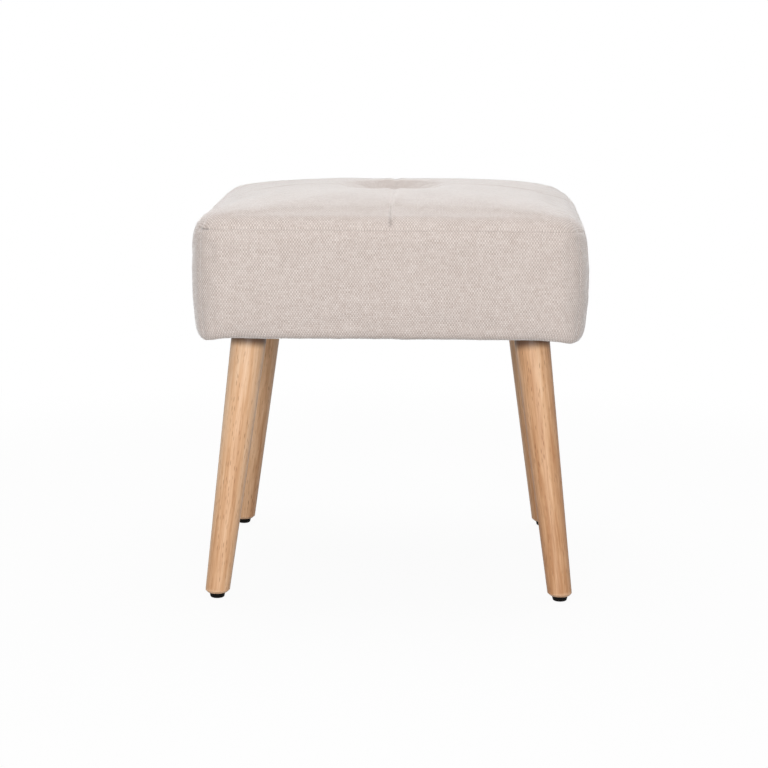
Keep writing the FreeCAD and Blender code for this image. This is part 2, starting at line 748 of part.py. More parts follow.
def block_shape(half_x, half_y, low, high):
    """A plain upright block about the middle of the seat."""
    return Part.makeBox(2 * half_x, 2 * half_y, high - low, Vector(-half_x, -half_y, low))


def strand_holes(radius):
    """Two upright holes for the twine's strands, through all the soft layers."""
    holes = []
    for side in (1, -1):
        foot = Vector(side * value(STRAND_X), 0, value(DECK_BOTTOM))
        holes.append(Part.makeCylinder(radius, value(S("side_height")), foot))
    return holes


def soft_part(shape, label):
    """A soft layer as a piece of the stool."""
    feature = DOC.addObject("Part::Feature", label)
    feature.Shape = shape
    feature.Placement = FreeCAD.Placement()
    return subpart(feature, label)


def cover(hem_staples):
    """The cover: a top panel and four side panels, which meet along the seams."""
    cloth = value(S("cloth_thickness"))
    over = value(S("overrun"))
    half_x = value(S("seat_width")) / 2
    half_y = value(S("seat_depth")) / 2
    hem = value(S("hem_inset"))
    low = value(S("underside_height"))
    seam = value(SEAM_HEIGHT)
    skin = seat_form(0).cut(seat_form(cloth))
    skin = skin.cut(block_shape(half_x - hem, half_y - hem, low - over, value(FRAME_BOTTOM) + over))
    above = block_shape(half_x + over, half_y + over, seam, seam + value(S("side_height")))
    holes = strand_holes(value(S("twine_radius")) + value(S("soft_clearance")))
    soft_part(skin.common(above).cut(holes), "cover_top_panel")
    band = skin.cut(above).cut(hem_staples.Shape)
    reach = hem + value(S("plan_corner_radius"))
    for name, way_x, _, turn in SIDES:
        along = half_y if way_x else half_x
        out = half_x if way_x else half_y
        outline = [
            Vector(-along - over, -out - over, low - over),
            Vector(along + over, -out - over, low - over),
            Vector(along - reach, reach - out, low - over),
            Vector(reach - along, reach - out, low - over),
        ]
        wedge = Part.Face(Part.makePolygon(outline + outline[:1]))
        wedge = wedge.extrude(Vector(0, 0, seam - low + 2 * over))
        wedge.rotate(Vector(), Vector(0, 0, 1), turn)
        soft_part(band.common(wedge), f"cover_{name}_panel")


def wadding_and_foam():
    """The fibre wrap under the cover and the foam pad on the deck."""
    clear = value(S("soft_clearance"))
    outer = value(S("cloth_thickness")) + clear
    inner = outer + value(S("wadding_thickness"))
    half_x = value(S("seat_width")) / 2
    half_y = value(S("seat_depth")) / 2
    deck = value(DECK_TOP)
    over = value(S("overrun"))
    holes = strand_holes(value(S("twine_radius")) + clear)
    wrap = seat_form(outer).cut(seat_form(inner, True)).cut(holes)
    soft_part(wrap, "wadding_wrap")
    above = block_shape(half_x, half_y, deck + clear, deck + value(S("side_height")) + over)
    soft_part(seat_form(inner + clear).common(above).cut(holes), "foam_pad")


def dust_cover(staples):
    """The cloth under the seat: a pan let into the frame and a border over the hem."""
    body = new_body("dust_cloth")
    cloth = S("dust_cloth_thickness")
    border_bottom = f"({S('underside_height')} - {cloth})"
    pan_inset = f"({S('hem_inset')} + {S('soft_clearance')})"

    def outline(inset):
        return rectangle(f"{S('seat_width')} / 2 - {inset}", f"{S('seat_depth')} / 2 - {inset}")

    pad(body, draw_polygon(new_sketch(body, height=border_bottom), outline(S("dust_cover_inset"))), cloth)
    pan = draw_polygon(new_sketch(body, height=border_bottom), outline(pan_inset))
    pad(body, pan, f"{FRAME_BOTTOM} - {border_bottom}")
    hollow = draw_polygon(new_sketch(body, height=border_bottom), outline(f"({pan_inset} + {cloth})"))
    pocket(body, hollow, f"{FRAME_BOTTOM} - {cloth} - {border_bottom}", upwards=True)
    bolt_holes = new_sketch(body, height=FRAME_BOTTOM)
    for _, side_x, side_y, _ in CORNERS:
        draw_circle(bolt_holes, BOLT_HOLE, *at_corner(side_x, side_y))
    pocket(body, bolt_holes, f"{cloth} + {S('overrun')}")
    subpart(joined("Cut", body, staples, "dust_cover"), "dust_cover")


# Tuft

def tuft_anchor():
    """The round anchor under the deck, with a hole for each strand."""
    body = new_body("tuft_anchor")
    disc = draw_circle(new_sketch(body, height=DECK_BOTTOM), S("anchor_radius"))
    pad(body, disc, S("anchor_thickness"), True)
    holes = new_sketch(body, height=DECK_BOTTOM)
    for side in (1, -1):
        draw_circle(holes, f"{S('twine_radius')} + {S('soft_clearance')}", f"{side} * {STRAND_X}")
    pocket(body, holes, f"{S('anchor_thickness')} + {S('overrun')}")
    subpart(body, "tuft_anchor")


def tuft_twine():
    """One closed loop of twine, from a stitch over the cover to a stitch under the anchor."""
    radius = value(S("twine_radius"))
    clear = value(S("soft_clearance"))
    bend = value(S("twine_bend_radius"))
    x = value(STRAND_X)
    top = value(TUFT_FLOOR) + radius + clear
    bottom = value(DECK_BOTTOM) - value(S("anchor_thickness")) - radius - clear
    part_way = bend * (1 - math.sqrt(2) / 2)
    edges = []
    # Each run ends where a bend begins: up the right strand, across the cover, down, back under the anchor
    corners = [(x, top, -1, -1), (-x, top, 1, -1), (-x, bottom, 1, 1), (x, bottom, -1, 1)]
    for k, (here, height, inward, up) in enumerate(corners):
        rising = k % 2 == 0
        before = Vector(here, 0, height + up * bend) if rising else Vector(here + inward * bend, 0, height)
        after = Vector(here + inward * bend, 0, height) if rising else Vector(here, 0, height + up * bend)
        middle = Vector(here + inward * part_way, 0, height + up * part_way)
        if k:
            edges.append(Part.LineSegment(last, before).toShape())
        else:
            start = before
        edges.append(Part.Arc(before, middle, after).toShape())
        last = after
    edges.append(Part.LineSegment(last, start).toShape())
    section = Part.Wire([Part.makeCircle(radius, start, Vector(0, 0, 1))])
    soft_part(Part.Wire(edges).makePipeShell([section], True, False), "tuft_twine")


# The whole stool

def build():
    """Build every piece, from the fasteners that the others are bored for to the cover."""
    bores = {}
    for length, name, rows in (
        (S("frame_screw_length"), "rail_screws", frame_screws),
        (S("frame_screw_length"), "corner_block_screws", block_screws),
        (S("deck_screw_length"), "deck_screws", deck_screws),
    ):
        grouped(rows(wood_screw(f"one_of_{name}", length, True)), name)
        bores[name] = gathered(rows(wood_screw(f"bore_of_{name}", length, False)), f"bores_of_{name}")
    wire_staple = staple()
    hem_group = staple_rows(
        wire_staple, "cover_staples", S("hem_staple_inset"), S("underside_height"), HEM_STAPLES_PER_SIDE)
    dust_bottom = f"({S('underside_height')} - {S('dust_cloth_thickness')})"
    dust_group = staple_rows(
        wire_staple, "dust_cover_staples", S("dust_staple_inset"), dust_bottom, DUST_STAPLES_PER_SIDE)
    fasteners = gathered([*bores.values(), hem_group, dust_group], "bores_of_rails")
    DOC.recompute()
    rails(fasteners)
    seat_deck(bores["deck_screws"])
    nut = tee_nut()
    bolt = hanger_bolt()
    nail = glide_nail()
    nuts, bolts, nails = [], [], []
    for name, side_x, side_y, turn in CORNERS:
        corner_block(name, side_x, side_y, turn, bores["corner_block_screws"])
        leg(name, side_x, side_y, turn)
        glide(name, side_x, side_y)
        x, y = at_corner(side_x, side_y)
        nuts.append(linked(nut, x, y, BLOCK_TOP, turn=turn))
        bolts.append(linked(bolt, x, y, LEG_TOP))
        nails.append(linked(nail, *foot_place(side_x, side_y)))
    grouped(nuts, "tee_nuts")
    grouped(bolts, "hanger_bolts")
    grouped(nails, "glide_nails")
    DOC.recompute()
    dust_cover(dust_group)
    tuft_anchor()
    tuft_twine()
    wadding_and_foam()
    cover(hem_group)
    DOC.recompute()


def check():
    """Stop if an object failed or a piece's shape is not sound."""
    for item in DOC.Objects:
        if {"Invalid", "Error"} & set(item.State):
            raise RuntimeError(f"{item.Name} failed: {item.State}")
    for item in SUBPARTS:
        if item.Shape.isNull() or not item.Shape.isValid():
            raise RuntimeError(f"{item.Label} has no sound shape")


def write():
    """Write each piece to a STEP file of its own."""
    os.makedirs("parts", exist_ok=True)
    for item in SUBPARTS:
        item.Shape.exportStep(f"parts/{item.Label}.step")
        print(item.Label, len(item.Shape.Solids), round(item.Shape.Volume))


build()
check()
write()
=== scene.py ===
"""Looks of the low stool: a tufted, fabric-covered seat on four splayed wooden legs."""
import logging
import math
from dataclasses import dataclass, field
from enum import Enum
from typing import Any, Union

import bpy
import numpy as np
from mathutils import Matrix, Vector


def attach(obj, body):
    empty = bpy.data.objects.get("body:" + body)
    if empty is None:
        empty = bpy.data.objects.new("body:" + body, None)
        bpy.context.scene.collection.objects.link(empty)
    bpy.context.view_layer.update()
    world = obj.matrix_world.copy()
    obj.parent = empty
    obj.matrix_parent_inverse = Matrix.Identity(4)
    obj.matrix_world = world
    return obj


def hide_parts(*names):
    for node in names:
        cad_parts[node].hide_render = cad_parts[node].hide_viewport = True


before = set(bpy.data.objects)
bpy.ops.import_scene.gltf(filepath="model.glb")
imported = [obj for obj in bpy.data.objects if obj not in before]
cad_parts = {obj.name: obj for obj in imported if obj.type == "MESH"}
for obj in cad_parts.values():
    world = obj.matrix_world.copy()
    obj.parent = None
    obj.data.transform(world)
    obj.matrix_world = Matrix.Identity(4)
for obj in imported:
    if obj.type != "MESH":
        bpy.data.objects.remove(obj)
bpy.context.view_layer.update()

LOG = logging.getLogger("low_stool")
MM = 0.001
BODY = "root"
# Millimetres from the seat's middle to the seam line, and along both sides to where a leg goes in
SEAM_HALF = 223.0
LEG_PLACE = 167.4
# The photograph's width in pixels, and the camera's sensor in millimetres
PICTURE_PIXELS = 768
SENSOR_WIDTH = 36
WHITE = (1, 1, 1, 1)
# The top panel's number among the cover's panels, after the four sides
TOP_PANEL = 4
Triple = tuple[float, float, float]
Colour = Triple
Four = tuple[float, float, float, float]
Pair = tuple[float, float]
Operand = Union["Sock", float]


def linear(red: int, green: int, blue: int) -> Colour:
    """Turns a colour of a screen into the shader's own scale.

    Args:
        red: red share from 0 to 255.
        green: green share from 0 to 255.
        blue: blue share from 0 to 255.

    Returns:
        The colour with each share from 0 to 1, without the screen's curve.
    """
    shares = [part / 255 for part in (red, green, blue)]
    return tuple(s / 12.92 if s <= 0.04045 else ((s + 0.055) / 1.055) ** 2.4 for s in shares)


# Shader sums

class Sock:
    """A shader socket that takes part in sums written in Python."""

    def __init__(self, shader: "Shader", socket: bpy.types.NodeSocket) -> None:
        """Keeps the socket and the shader that it belongs to."""
        self.shader = shader
        self.socket = socket

    def math(self, operation: str, *others: Operand, first: bool = True) -> "Sock":
        """Adds a Math node.

        Args:
            operation: the node's operation.
            others: its further values.
            first: whether this socket is the node's first value.

        Returns:
            The node's result.
        """
        values = [self, *others] if first else [*others, self]
        made = self.shader.node("ShaderNodeMath", {"operation": operation}, dict(enumerate(values)))
        return Sock(self.shader, made.outputs[0])

    def __add__(self, other: Operand) -> "Sock":
        """This plus another."""
        return self.math("ADD", other)

    def __mul__(self, other: Operand) -> "Sock":
        """This times another."""
        return self.math("MULTIPLY", other)

    def __sub__(self, other: Operand) -> "Sock":
        """This less another."""
        return self.math("SUBTRACT", other)

    def __rsub__(self, other: Operand) -> "Sock":
        """Another less this."""
        return self.math("SUBTRACT", other, first=False)

    def __truediv__(self, other: Operand) -> "Sock":
        """This divided by another."""
        return self.math("DIVIDE", other)

    def __mod__(self, other: Operand) -> "Sock":
        """What is left of this after whole steps of another."""
        return self.math("FLOORED_MODULO", other)

    __radd__ = __add__
    __rmul__ = __mul__

    def floor(self) -> "Sock":
        """The whole steps in this."""
        return self.math("FLOOR")

    def part(self) -> "Sock":
        """What this has over its whole steps."""
        return self.math("FRACT")

    def sine(self) -> "Sock":
        """The sine of this."""
        return self.math("SINE")

    def size(self) -> "Sock":
        """This without its sign."""
        return self.math("ABSOLUTE")

    def between(self, low: float, high: float) -> "Sock":
        """Rises smoothly between two levels.

        Args:
            low: the level up to which the result is zero.
            high: the level from which it is one.

        Returns:
            The share, from 0 to 1.
        """
        made = self.shader.node(
            "ShaderNodeMapRange", {"interpolation_type": "SMOOTHSTEP"},
            {"Value": self, "From Min": low, "From Max": high},
        )
        return Sock(self.shader, made.outputs[0])


class Shader:
    """A material or a world under construction, with one way to make any node."""

    def __init__(self, name: str, world: bpy.types.World | None = None) -> None:
        """Starts an empty material, or empties the world that is given.

        Args:
            name: the material's name.
            world: the world, where it is one.
        """
        self.material = world or bpy.data.materials.new(name)
        self.material.use_nodes = True
        self.tree = self.material.node_tree
        self.tree.nodes.clear()

    def node(self, kind: str, settings: dict[str, Any] | None = None,
             inputs: dict[str | int, Any] | None = None) -> bpy.types.Node:
        """Makes a node.

        Args:
            kind: the node's type.
            settings: its settings, set before its sockets; stops are a ramp's places and colours.
            inputs: a value or a link for each socket, by name or by number.

        Returns:
            The node.
        """
        made = self.tree.nodes.new(kind)
        for name, setting in (settings or {}).items():
            if name == "stops":
                self._stops(made.color_ramp, setting)
            else:
                setattr(made, name, setting)
        for name, given in (inputs or {}).items():
            if isinstance(given, Sock):
                self.tree.links.new(given.socket, made.inputs[name])
            elif given is not None:
                made.inputs[name].default_value = given
        return made

    @staticmethod
    def _stops(ramp: bpy.types.ColorRamp, stops: list[tuple[float, Colour]]) -> None:
        """Sets a ramp's stops.

        Args:
            ramp: the ramp.
            stops: the place and the colour of each of its stops.
        """
        while len(ramp.elements) < len(stops):
            ramp.elements.new(1)
        for element, (place, colour) in zip(ramp.elements, stops):
            element.position = place
            element.color = (*colour, 1)

    def out(self, made: bpy.types.Node, name: str | int = 0) -> Sock:
        """One of a node's outputs."""
        return Sock(self, made.outputs[name])

    def place(self, centre: Vector | None = None, turn: Matrix | None = None) -> Sock:
        """The place on the piece in metres.

        Args:
            centre: the point that it is measured from, or None for the origin.
            turn: how the pattern is turned.

        Returns:
            The place.
        """
        here = self.out(self.node("ShaderNodeTexCoord"), "Object")
        if centre is None:
            return here
        angles = (turn or Matrix()).to_euler("XYZ")
        inputs = {"Vector": here, "Location": centre, "Rotation": angles}
        return self.out(self.node("ShaderNodeMapping", {"vector_type": "TEXTURE"}, inputs))

    def cloth_place(self) -> Sock:
        """The place on the cloth as it was cut, in metres."""
        return self.out(self.node("ShaderNodeTexCoord"), "UV")

    def held(self, name: str) -> Sock:
        """A number that the piece's own points hold."""
        return self.out(self.node("ShaderNodeAttribute", {"attribute_name": name}), "Fac")

    def split(self, vector: Sock) -> tuple[Sock, Sock, Sock]:
        """The three numbers of a vector."""
        made = self.node("ShaderNodeSeparateXYZ", None, {0: vector})
        return tuple(self.out(made, k) for k in range(3))

    def join(self, x: Operand, y: Operand, z: Operand = 0.0) -> Sock:
        """A vector of three numbers."""
        return self.out(self.node("ShaderNodeCombineXYZ", None, {0: x, 1: y, 2: z}))

    def stretch(self, vector: Sock, shares: Triple) -> Sock:
        """A vector with each of its numbers multiplied by its own share."""
        made = self.node("ShaderNodeVectorMath", {"operation": "MULTIPLY"}, {0: vector, 1: shares})
        return self.out(made)

    def noise(self, vector: Sock, scale: float, detail: float = 2.0, rough: float = 0.5,
              twist: float = 0.0) -> Sock:
        """Smooth noise about a half.

        Args:
            vector: where it is read.
            scale: its cells in a unit of that vector.
            detail: how many finer layers it has.
            rough: how strong these are.
            twist: how far it is drawn out of place.

        Returns:
            The noise, mostly from 0.25 to 0.75.
        """
        made = self.node("ShaderNodeTexNoise", {"noise_dimensions": "3D"}, {
            "Vector": vector, "Scale": scale, "Detail": detail, "Roughness": rough,
            "Distortion": twist})
        return self.out(made)

    def cells(self, vector: Sock, scale: float) -> Sock:
        """The distance from the middle of the nearest cell."""
        made = self.node("ShaderNodeTexVoronoi", None, {"Vector": vector, "Scale": scale})
        return self.out(made, "Distance")

    def blend(self, share: Operand, first: Any, second: Any) -> Sock:
        """A mix of two colours.

        Args:
            share: how much of the second colour there is.
            first: the first colour or its socket.
            second: the second colour or its socket.

        Returns:
            The mixed colour.
        """
        colours = [c if isinstance(c, Sock) else (*c, 1) for c in (first, second)]
        made = self.node("ShaderNodeMix", {"data_type": "RGBA", "blend_type": "MIX"},
                         {0: share, 6: colours[0], 7: colours[1]})
        return self.out(made, 2)

    def shade(self, colour: Sock, light: Sock) -> Sock:
        """A colour made lighter or darker by a number."""
        made = self.node("ShaderNodeVectorMath", {"operation": "SCALE"},
                         {0: colour, "Scale": light})
        return self.out(made)

    def ramp(self, share: Sock, stops: list[tuple[float, Colour]]) -> Sock:
        """A colour read from a ramp."""
        return self.out(self.node("ShaderNodeValToRGB", {"stops": stops}, {0: share}))

    def relief(self, height: Sock, depth: float, strength: float = 1.0) -> Sock:
        """A bumpy normal.

        Args:
            height: the surface's height, from 0 to 1.
            depth: what a height of 1 is, in metres.
            strength: how much of it shows.

        Returns:
            The normal.
        """
        return self.out(self.node("ShaderNodeBump", None, {
            "Height": height, "Distance": depth, "Strength": strength}))

    def surface(self, colour: Any, roughness: Operand, normal: Sock | None = None,
                **constants: float) -> bpy.types.Material:
        """Ends the material with its surface.

        Args:
            colour: the base colour.
            roughness: how dull it is.
            normal: its bumpy normal.
            constants: further sockets, with spaces written as underscores, each with one value.

        Returns:
            The material.
        """
        inputs = {"Base Color": colour, "Roughness": roughness, "Normal": normal}
        inputs.update({name.replace("_", " "): given for name, given in constants.items()})
        made = self.node("ShaderNodeBsdfPrincipled", None, inputs)
        self.node("ShaderNodeOutputMaterial", None, {"Surface": self.out(made)})
        return self.material


# Finishes

@dataclass(frozen=True)
class LinenWeave:
    """A plain weave of pale warp and darker weft, both slubby."""

    name: str = "linen_weave"
    warp_dark: Colour = linear(215, 201, 194)
    warp_light: Colour = linear(230, 219, 213)
    weft_dark: Colour = linear(187, 173, 165)
    weft_light: Colour = linear(206, 194, 187)
    warp_pitch: float = 1.6 * MM
    weft_pitch: float = 2.4 * MM
    slub_length: float = 11 * MM
    relief_depth: float = 0.4 * MM
    # How far a thread wanders, in threads, and how much painted sheen lightens the cloth's colour
    # at a glance along it
    wander: float = 0.8
    painted_sheen: float = 0.42

    def material(self) -> bpy.types.Material:
        """The weave, read from the cloth's own map of its cut.

        Returns:
            The material.
        """
        s = Shader(self.name)
        cloth = s.cloth_place()
        u, v, _ = s.split(cloth)
        drift = s.noise(cloth, 38.0, 1.0)
        sway = s.noise(s.stretch(cloth, (1.0, -1.0, 1.0)), 44.0, 1.0)
        across = u / self.warp_pitch + (drift - 0.5) * self.wander
        along = v / self.weft_pitch + (sway - 0.5) * self.wander
        warp, weft = across.floor(), along.floor()
        over = (warp + weft) % 2.0
        warp_round = (across.part() * math.pi).sine()
        weft_round = (along.part() * math.pi).sine()
        warp_height = warp_round * (0.55 + 0.45 * weft_round)
        weft_height = weft_round * (0.55 + 0.45 * warp_round)
        height = over * warp_height + (1 - over) * weft_height
        warp_tone = s.noise(s.join(warp * 3.71, v / self.slub_length), 1.0, 2.0, 0.6)
        weft_tone = s.noise(s.join(u / self.slub_length, weft * 4.13, 7.0), 1.0, 2.0, 0.6)
        cloud = (s.noise(cloth, 16.0, 2.0) - 0.5) * 0.12
        pale = s.blend((warp_tone + cloud).between(0.3, 0.7), self.warp_dark, self.warp_light)
        deep = s.blend((weft_tone + cloud).between(0.3, 0.7), self.weft_dark, self.weft_light)
        colour = s.blend(over, deep, pale)
        # Painted sheen: the colour is made lighter where the cloth is seen at a glance
        glance = s.out(s.node("ShaderNodeLayerWeight", None, {"Blend": 0.5}), "Facing")
        painted_sheen = (glance * glance) * (glance * glance) * self.painted_sheen + 1
        # Painted shade in the gaps between the threads, times the painted shade and light that the
        # points hold, times the painted sheen
        shaded = s.shade(colour, (height * 0.1 + 0.93) * s.held("shade") * painted_sheen)
        fibre = s.noise(cloth, 2600.0, 2.0)
        normal = s.relief(height + fibre * 0.3, self.relief_depth, 0.6)
        return s.surface(shaded, 0.94 - height * 0.06, normal, Sheen_Weight=1.0,
                         Sheen_Roughness=0.35, Specular_IOR_Level=0.2)


@dataclass(frozen=True)
class OiledWood:
    """Pale oiled hardwood with short dark pores, its grain along one axis."""

    name: str
    centre: Vector
    turn: Matrix
    seed: float
    depth: float = 0.0
    flecks: float = 0.6
    light: Colour = linear(240, 202, 166)
    middle: Colour = linear(224, 178, 137)
    dark: Colour = linear(192, 140, 98)
    pore: Colour = linear(148, 100, 66)
    # The colour of the seat's painted shadow on the top of the leg
    seat_shadow_colour: Colour = linear(84, 56, 40)
    # Heights along the leg between which the seat's painted shadow on its top begins, and how much
    # that darkens
    seat_shadow_heights: Pair = (295 * MM, 307.5 * MM)
    seat_shadow_strength: float = 0.88
    # Heights between which the worn foot ends
    foot_end: Pair = (1.5 * MM, 5 * MM)

    def material(self) -> bpy.types.Material:
        """The wood, read along its own axis.

        Returns:
            The material.
        """
        s = Shader(self.name)
        here = s.place(self.centre, self.turn)
        x, y, z = s.split(here)
        x = x + self.seed
        board = s.noise(s.join(x, y, z * 0.03), 75.0, 2.0, 0.55, 0.5)
        streak = s.noise(s.join(x, y, z * 0.045), 360.0, 3.0, 0.6, 0.3)
        silk = s.noise(s.join(x, y, z * 0.02), 1500.0, 2.0, 0.6)
        # The z term makes each leg lighter towards its top: painted light
        tone = board * 0.8 + streak * 0.85 + silk * 0.25 + z * 0.7 - 0.56 - self.depth * 0.22
        colour = s.ramp(tone, [(0.2, self.dark), (0.5, self.middle), (0.8, self.light)])
        dashes = s.cells(s.join(x, y, z * 0.13), 520.0)
        where = s.noise(s.join(x, y, z * 0.2), 60.0, 1.0).between(0.4, 0.6)
        fleck = (1 - dashes.between(0.12, 0.32)) * (where * 0.65 + 0.35)
        flecked = s.blend(fleck * self.flecks, colour, self.pore)
        # Painted shadow of the seat on the top of the leg
        seat_shadow_mask = z.between(*self.seat_shadow_heights) * self.seat_shadow_strength
        seat_shadowed = s.blend(seat_shadow_mask, flecked, self.seat_shadow_colour)
        end = s.blend((1 - z.between(*self.foot_end)) * 0.4, seat_shadowed, self.light)
        normal = s.relief(silk * 0.4 + streak * 0.3 - fleck * 0.8, 0.12 * MM, 0.5)
        return s.surface(end, 0.52 + fleck * 0.2 - silk * 0.1, normal, Coat_Weight=0.06,
                         Coat_Roughness=0.4, Specular_IOR_Level=0.35)


@dataclass(frozen=True)
class SawnBoard:
    """Plain sawn softwood or sheet wood, its grain along one axis of the stool."""

    name: str
    light: Colour
    dark: Colour
    along: int = 0
    layers: float = 0.0

    def material(self) -> bpy.types.Material:
        """The board, with saw marks, and with glued layers where it is made of them.

        Returns:
            The material.
        """
        s = Shader(self.name)
        here = s.place()
        shares = [1.0, 1.0, 1.0]
        shares[self.along] = 0.05
        drawn = s.stretch(here, tuple(shares))
        grain = s.noise(drawn, 90.0, 4.0, 0.6, 0.8)
        fine = s.noise(drawn, 1100.0, 2.0, 0.6)
        tone = grain + fine * 0.3 - 0.15
        colour = s.ramp(tone, [(0.3, self.dark), (0.62, self.light)])
        if self.layers:
            _, _, z = s.split(here)
            ply = (z / self.layers).floor() % 2.0
            colour = s.blend(ply * 0.35, colour, self.dark)
        normal = s.relief(grain * 0.5 + fine * 0.5, 0.25 * MM, 0.6)
        return s.surface(colour, 0.72 + fine * 0.16, normal)


@dataclass(frozen=True)
class MouldedPlastic:
    """Moulded plastic with a fine spark-worn grain."""

    name: str
    colour: Colour
    worn: Colour
    roughness: float = 0.42
    gloss: float = 0.5
    grain: float = 0.06 * MM

    def material(self) -> bpy.types.Material:
        """The plastic, scuffed where it is touched.

        Returns:
            The material.
        """
        s = Shader(self.name)
        here = s.place()
        cloud = s.noise(here, 160.0, 3.0, 0.6)
        spark = s.noise(here, 3200.0, 2.0)
        colour = s.blend(cloud.between(0.45, 0.75) * 0.4, self.colour, self.worn)
        normal = s.relief(spark, self.grain, 0.5)
        return s.surface(colour, cloud * 0.2 + self.roughness, normal,
                         Specular_IOR_Level=self.gloss)


@dataclass(frozen=True)
class BondedCloth:
    """Thin black bonded cloth with embossed points."""

    name: str = "bonded_cloth"
    colour: Colour = linear(34, 33, 35)
    fibre: Colour = linear(70, 68, 70)
    pitch: float = 1.8 * MM

    def material(self) -> bpy.types.Material:
        """The cloth, read from its own map of its cut.

        Returns:
            The material.
        """
        s = Shader(self.name)
        cloth = s.cloth_place()
        u, v, _ = s.split(cloth)
        rows = ((u + v) / self.pitch * math.pi).sine() * ((u - v) / self.pitch * math.pi).sine()
        points = rows.size()
        hair = s.noise(s.stretch(cloth, (1.0, 0.35, 1.0)), 900.0, 4.0, 0.7, 1.5)
        colour = s.blend(hair.between(0.5, 0.72) * 0.55, self.colour, self.fibre)
        normal = s.relief(points * 0.6 + hair * 0.6, 0.2 * MM, 0.6)
        return s.surface(colour, 0.7 + hair * 0.25, normal, Sheen_Weight=0.1)


@dataclass(frozen=True)
class PlatedSteel:
    """Zinc-plated steel wire and screws."""

    name: str = "plated_steel"
    colour: Colour = linear(196, 198, 202)
    dull: Colour = linear(150, 152, 158)

    def material(self) -> bpy.types.Material:
        """The plating, with dull clouds and fine scratches.

        Returns:
            The material.
        """
        s = Shader(self.name)
        here = s.place()
        cloud = s.noise(here, 420.0, 3.0, 0.6)
        scratch = s.noise(s.stretch(here, (1.0, 0.15, 1.0)), 2400.0, 2.0, 0.6)
        colour = s.blend(cloud.between(0.4, 0.7), self.colour, self.dull)
        normal = s.relief(scratch, 0.05 * MM, 0.5)
        return s.surface(colour, cloud * 0.3 + 0.2, normal, Metallic=1.0)


@dataclass(frozen=True)
class OpenFoam:
    """Soft filling: cut foam, or a matted wadding where the cells are drawn out."""

    name: str
    colour: Colour
    deep: Colour
    cell: float
    drawn: float = 1.0

    def material(self) -> bpy.types.Material:
        """The filling, with its open cells or its matted fibres.

        Returns:
            The material.
        """
        s = Shader(self.name)
        here = s.stretch(s.place(), (1.0, self.drawn, 1.0))
        holes = s.cells(here, 1 / self.cell)
        tuft = s.noise(here, 0.4 / self.cell, 4.0, 0.65, 1.0 - self.drawn)
        # Darker in each open cell: painted shade; the tufts below are the filling's own tone
        colour = s.blend(1 - holes.between(0.1, 0.5), self.colour, self.deep)
        tinted = s.blend(tuft.between(0.35, 0.7) * 0.3, colour, self.deep)
        normal = s.relief(holes * 0.5 + tuft, 0.5 * MM, 0.8)
        return s.surface(tinted, 0.92 - tuft * 0.1, normal, Sheen_Weight=0.2)


@dataclass(frozen=True)
class WaxedTwine:
    """Twisted waxed twine that runs up and down."""

    name: str = "waxed_twine"
    colour: Colour = linear(226, 214, 206)
    deep: Colour = linear(196, 182, 172)
    lay: float = 2.2 * MM

    def material(self) -> bpy.types.Material:
        """The twine, with its strands laid round it.

        Returns:
            The material.
        """
        s = Shader(self.name)
        x, y, z = s.split(s.place())
        strands = ((x * 0.7 + y * 0.7 + z) / self.lay * math.tau).sine() * 0.5 + 0.5
        hair = s.noise(s.join(x, y, z * 0.5), 2500.0, 2.0)
        # Darker between the strands: painted shade in the grooves
        colour = s.blend(1 - strands * hair.between(0.2, 0.6), self.colour, self.deep)
        return s.surface(colour, 0.7 + hair * 0.2, s.relief(strands, 0.3 * MM))


# Mesh helpers

def finish_piece(name: str, points: np.ndarray, faces: list[list[int]], cut: np.ndarray | None,
                 material: bpy.types.Material,
                 nodes: tuple[str, ...]) -> bpy.types.Object:
    """Makes a smooth piece from points and faces.

    Args:
        name: the piece's name.
        points: its points, in metres.
        faces: the point numbers of its faces.
        cut: each point's place on the cloth as it was cut, or None for a piece without a map.
        material: its finish.
        nodes: the solids that it stands for.

    Returns:
        The piece.
    """
    mesh = bpy.data.meshes.new(name)
    mesh.from_pydata(points.tolist(), [], faces)
    if cut is not None:
        corners = np.empty(len(mesh.loops), np.int32)
        mesh.loops.foreach_get("vertex_index", corners)
        mesh.uv_layers.new(name="cut").data.foreach_set("uv", cut[corners].ravel())
    mesh.polygons.foreach_set("use_smooth", np.ones(len(mesh.polygons), bool))
    mesh.materials.append(material)
    mesh.update()
    piece = bpy.data.objects.new(name, mesh)
    bpy.context.scene.collection.objects.link(piece)
    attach(piece, BODY)
    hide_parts(*nodes)
    return piece


def thicken(piece: bpy.types.Object, thickness: float) -> None:
    """Gives a sheet its thickness, inwards from the side that shows.

    Args:
        piece: the sheet.
        thickness: its thickness, in metres.
    """
    bpy.ops.object.select_all(action="DESELECT")
    bpy.context.view_layer.objects.active = piece
    piece.select_set(True)
    wall = piece.modifiers.new("thickness", "SOLIDIFY")
    wall.thickness = thickness
    wall.offset = -1
    bpy.ops.object.modifier_apply(modifier=wall.name)
    piece.select_set(False)


def bell(distance: np.ndarray, width: np.ndarray | float) -> np.ndarray:
    """One at no distance, falling to nothing over a few widths."""
    return np.exp(-((distance / width) ** 2))


def step_up(values: np.ndarray, low: float, high: float) -> np.ndarray:
    """Zero at the low level, one at the high one, smooth and clamped."""
    share = np.clip((values - low) / (high - low), 0, 1)
    return share * share * (3 - 2 * share)


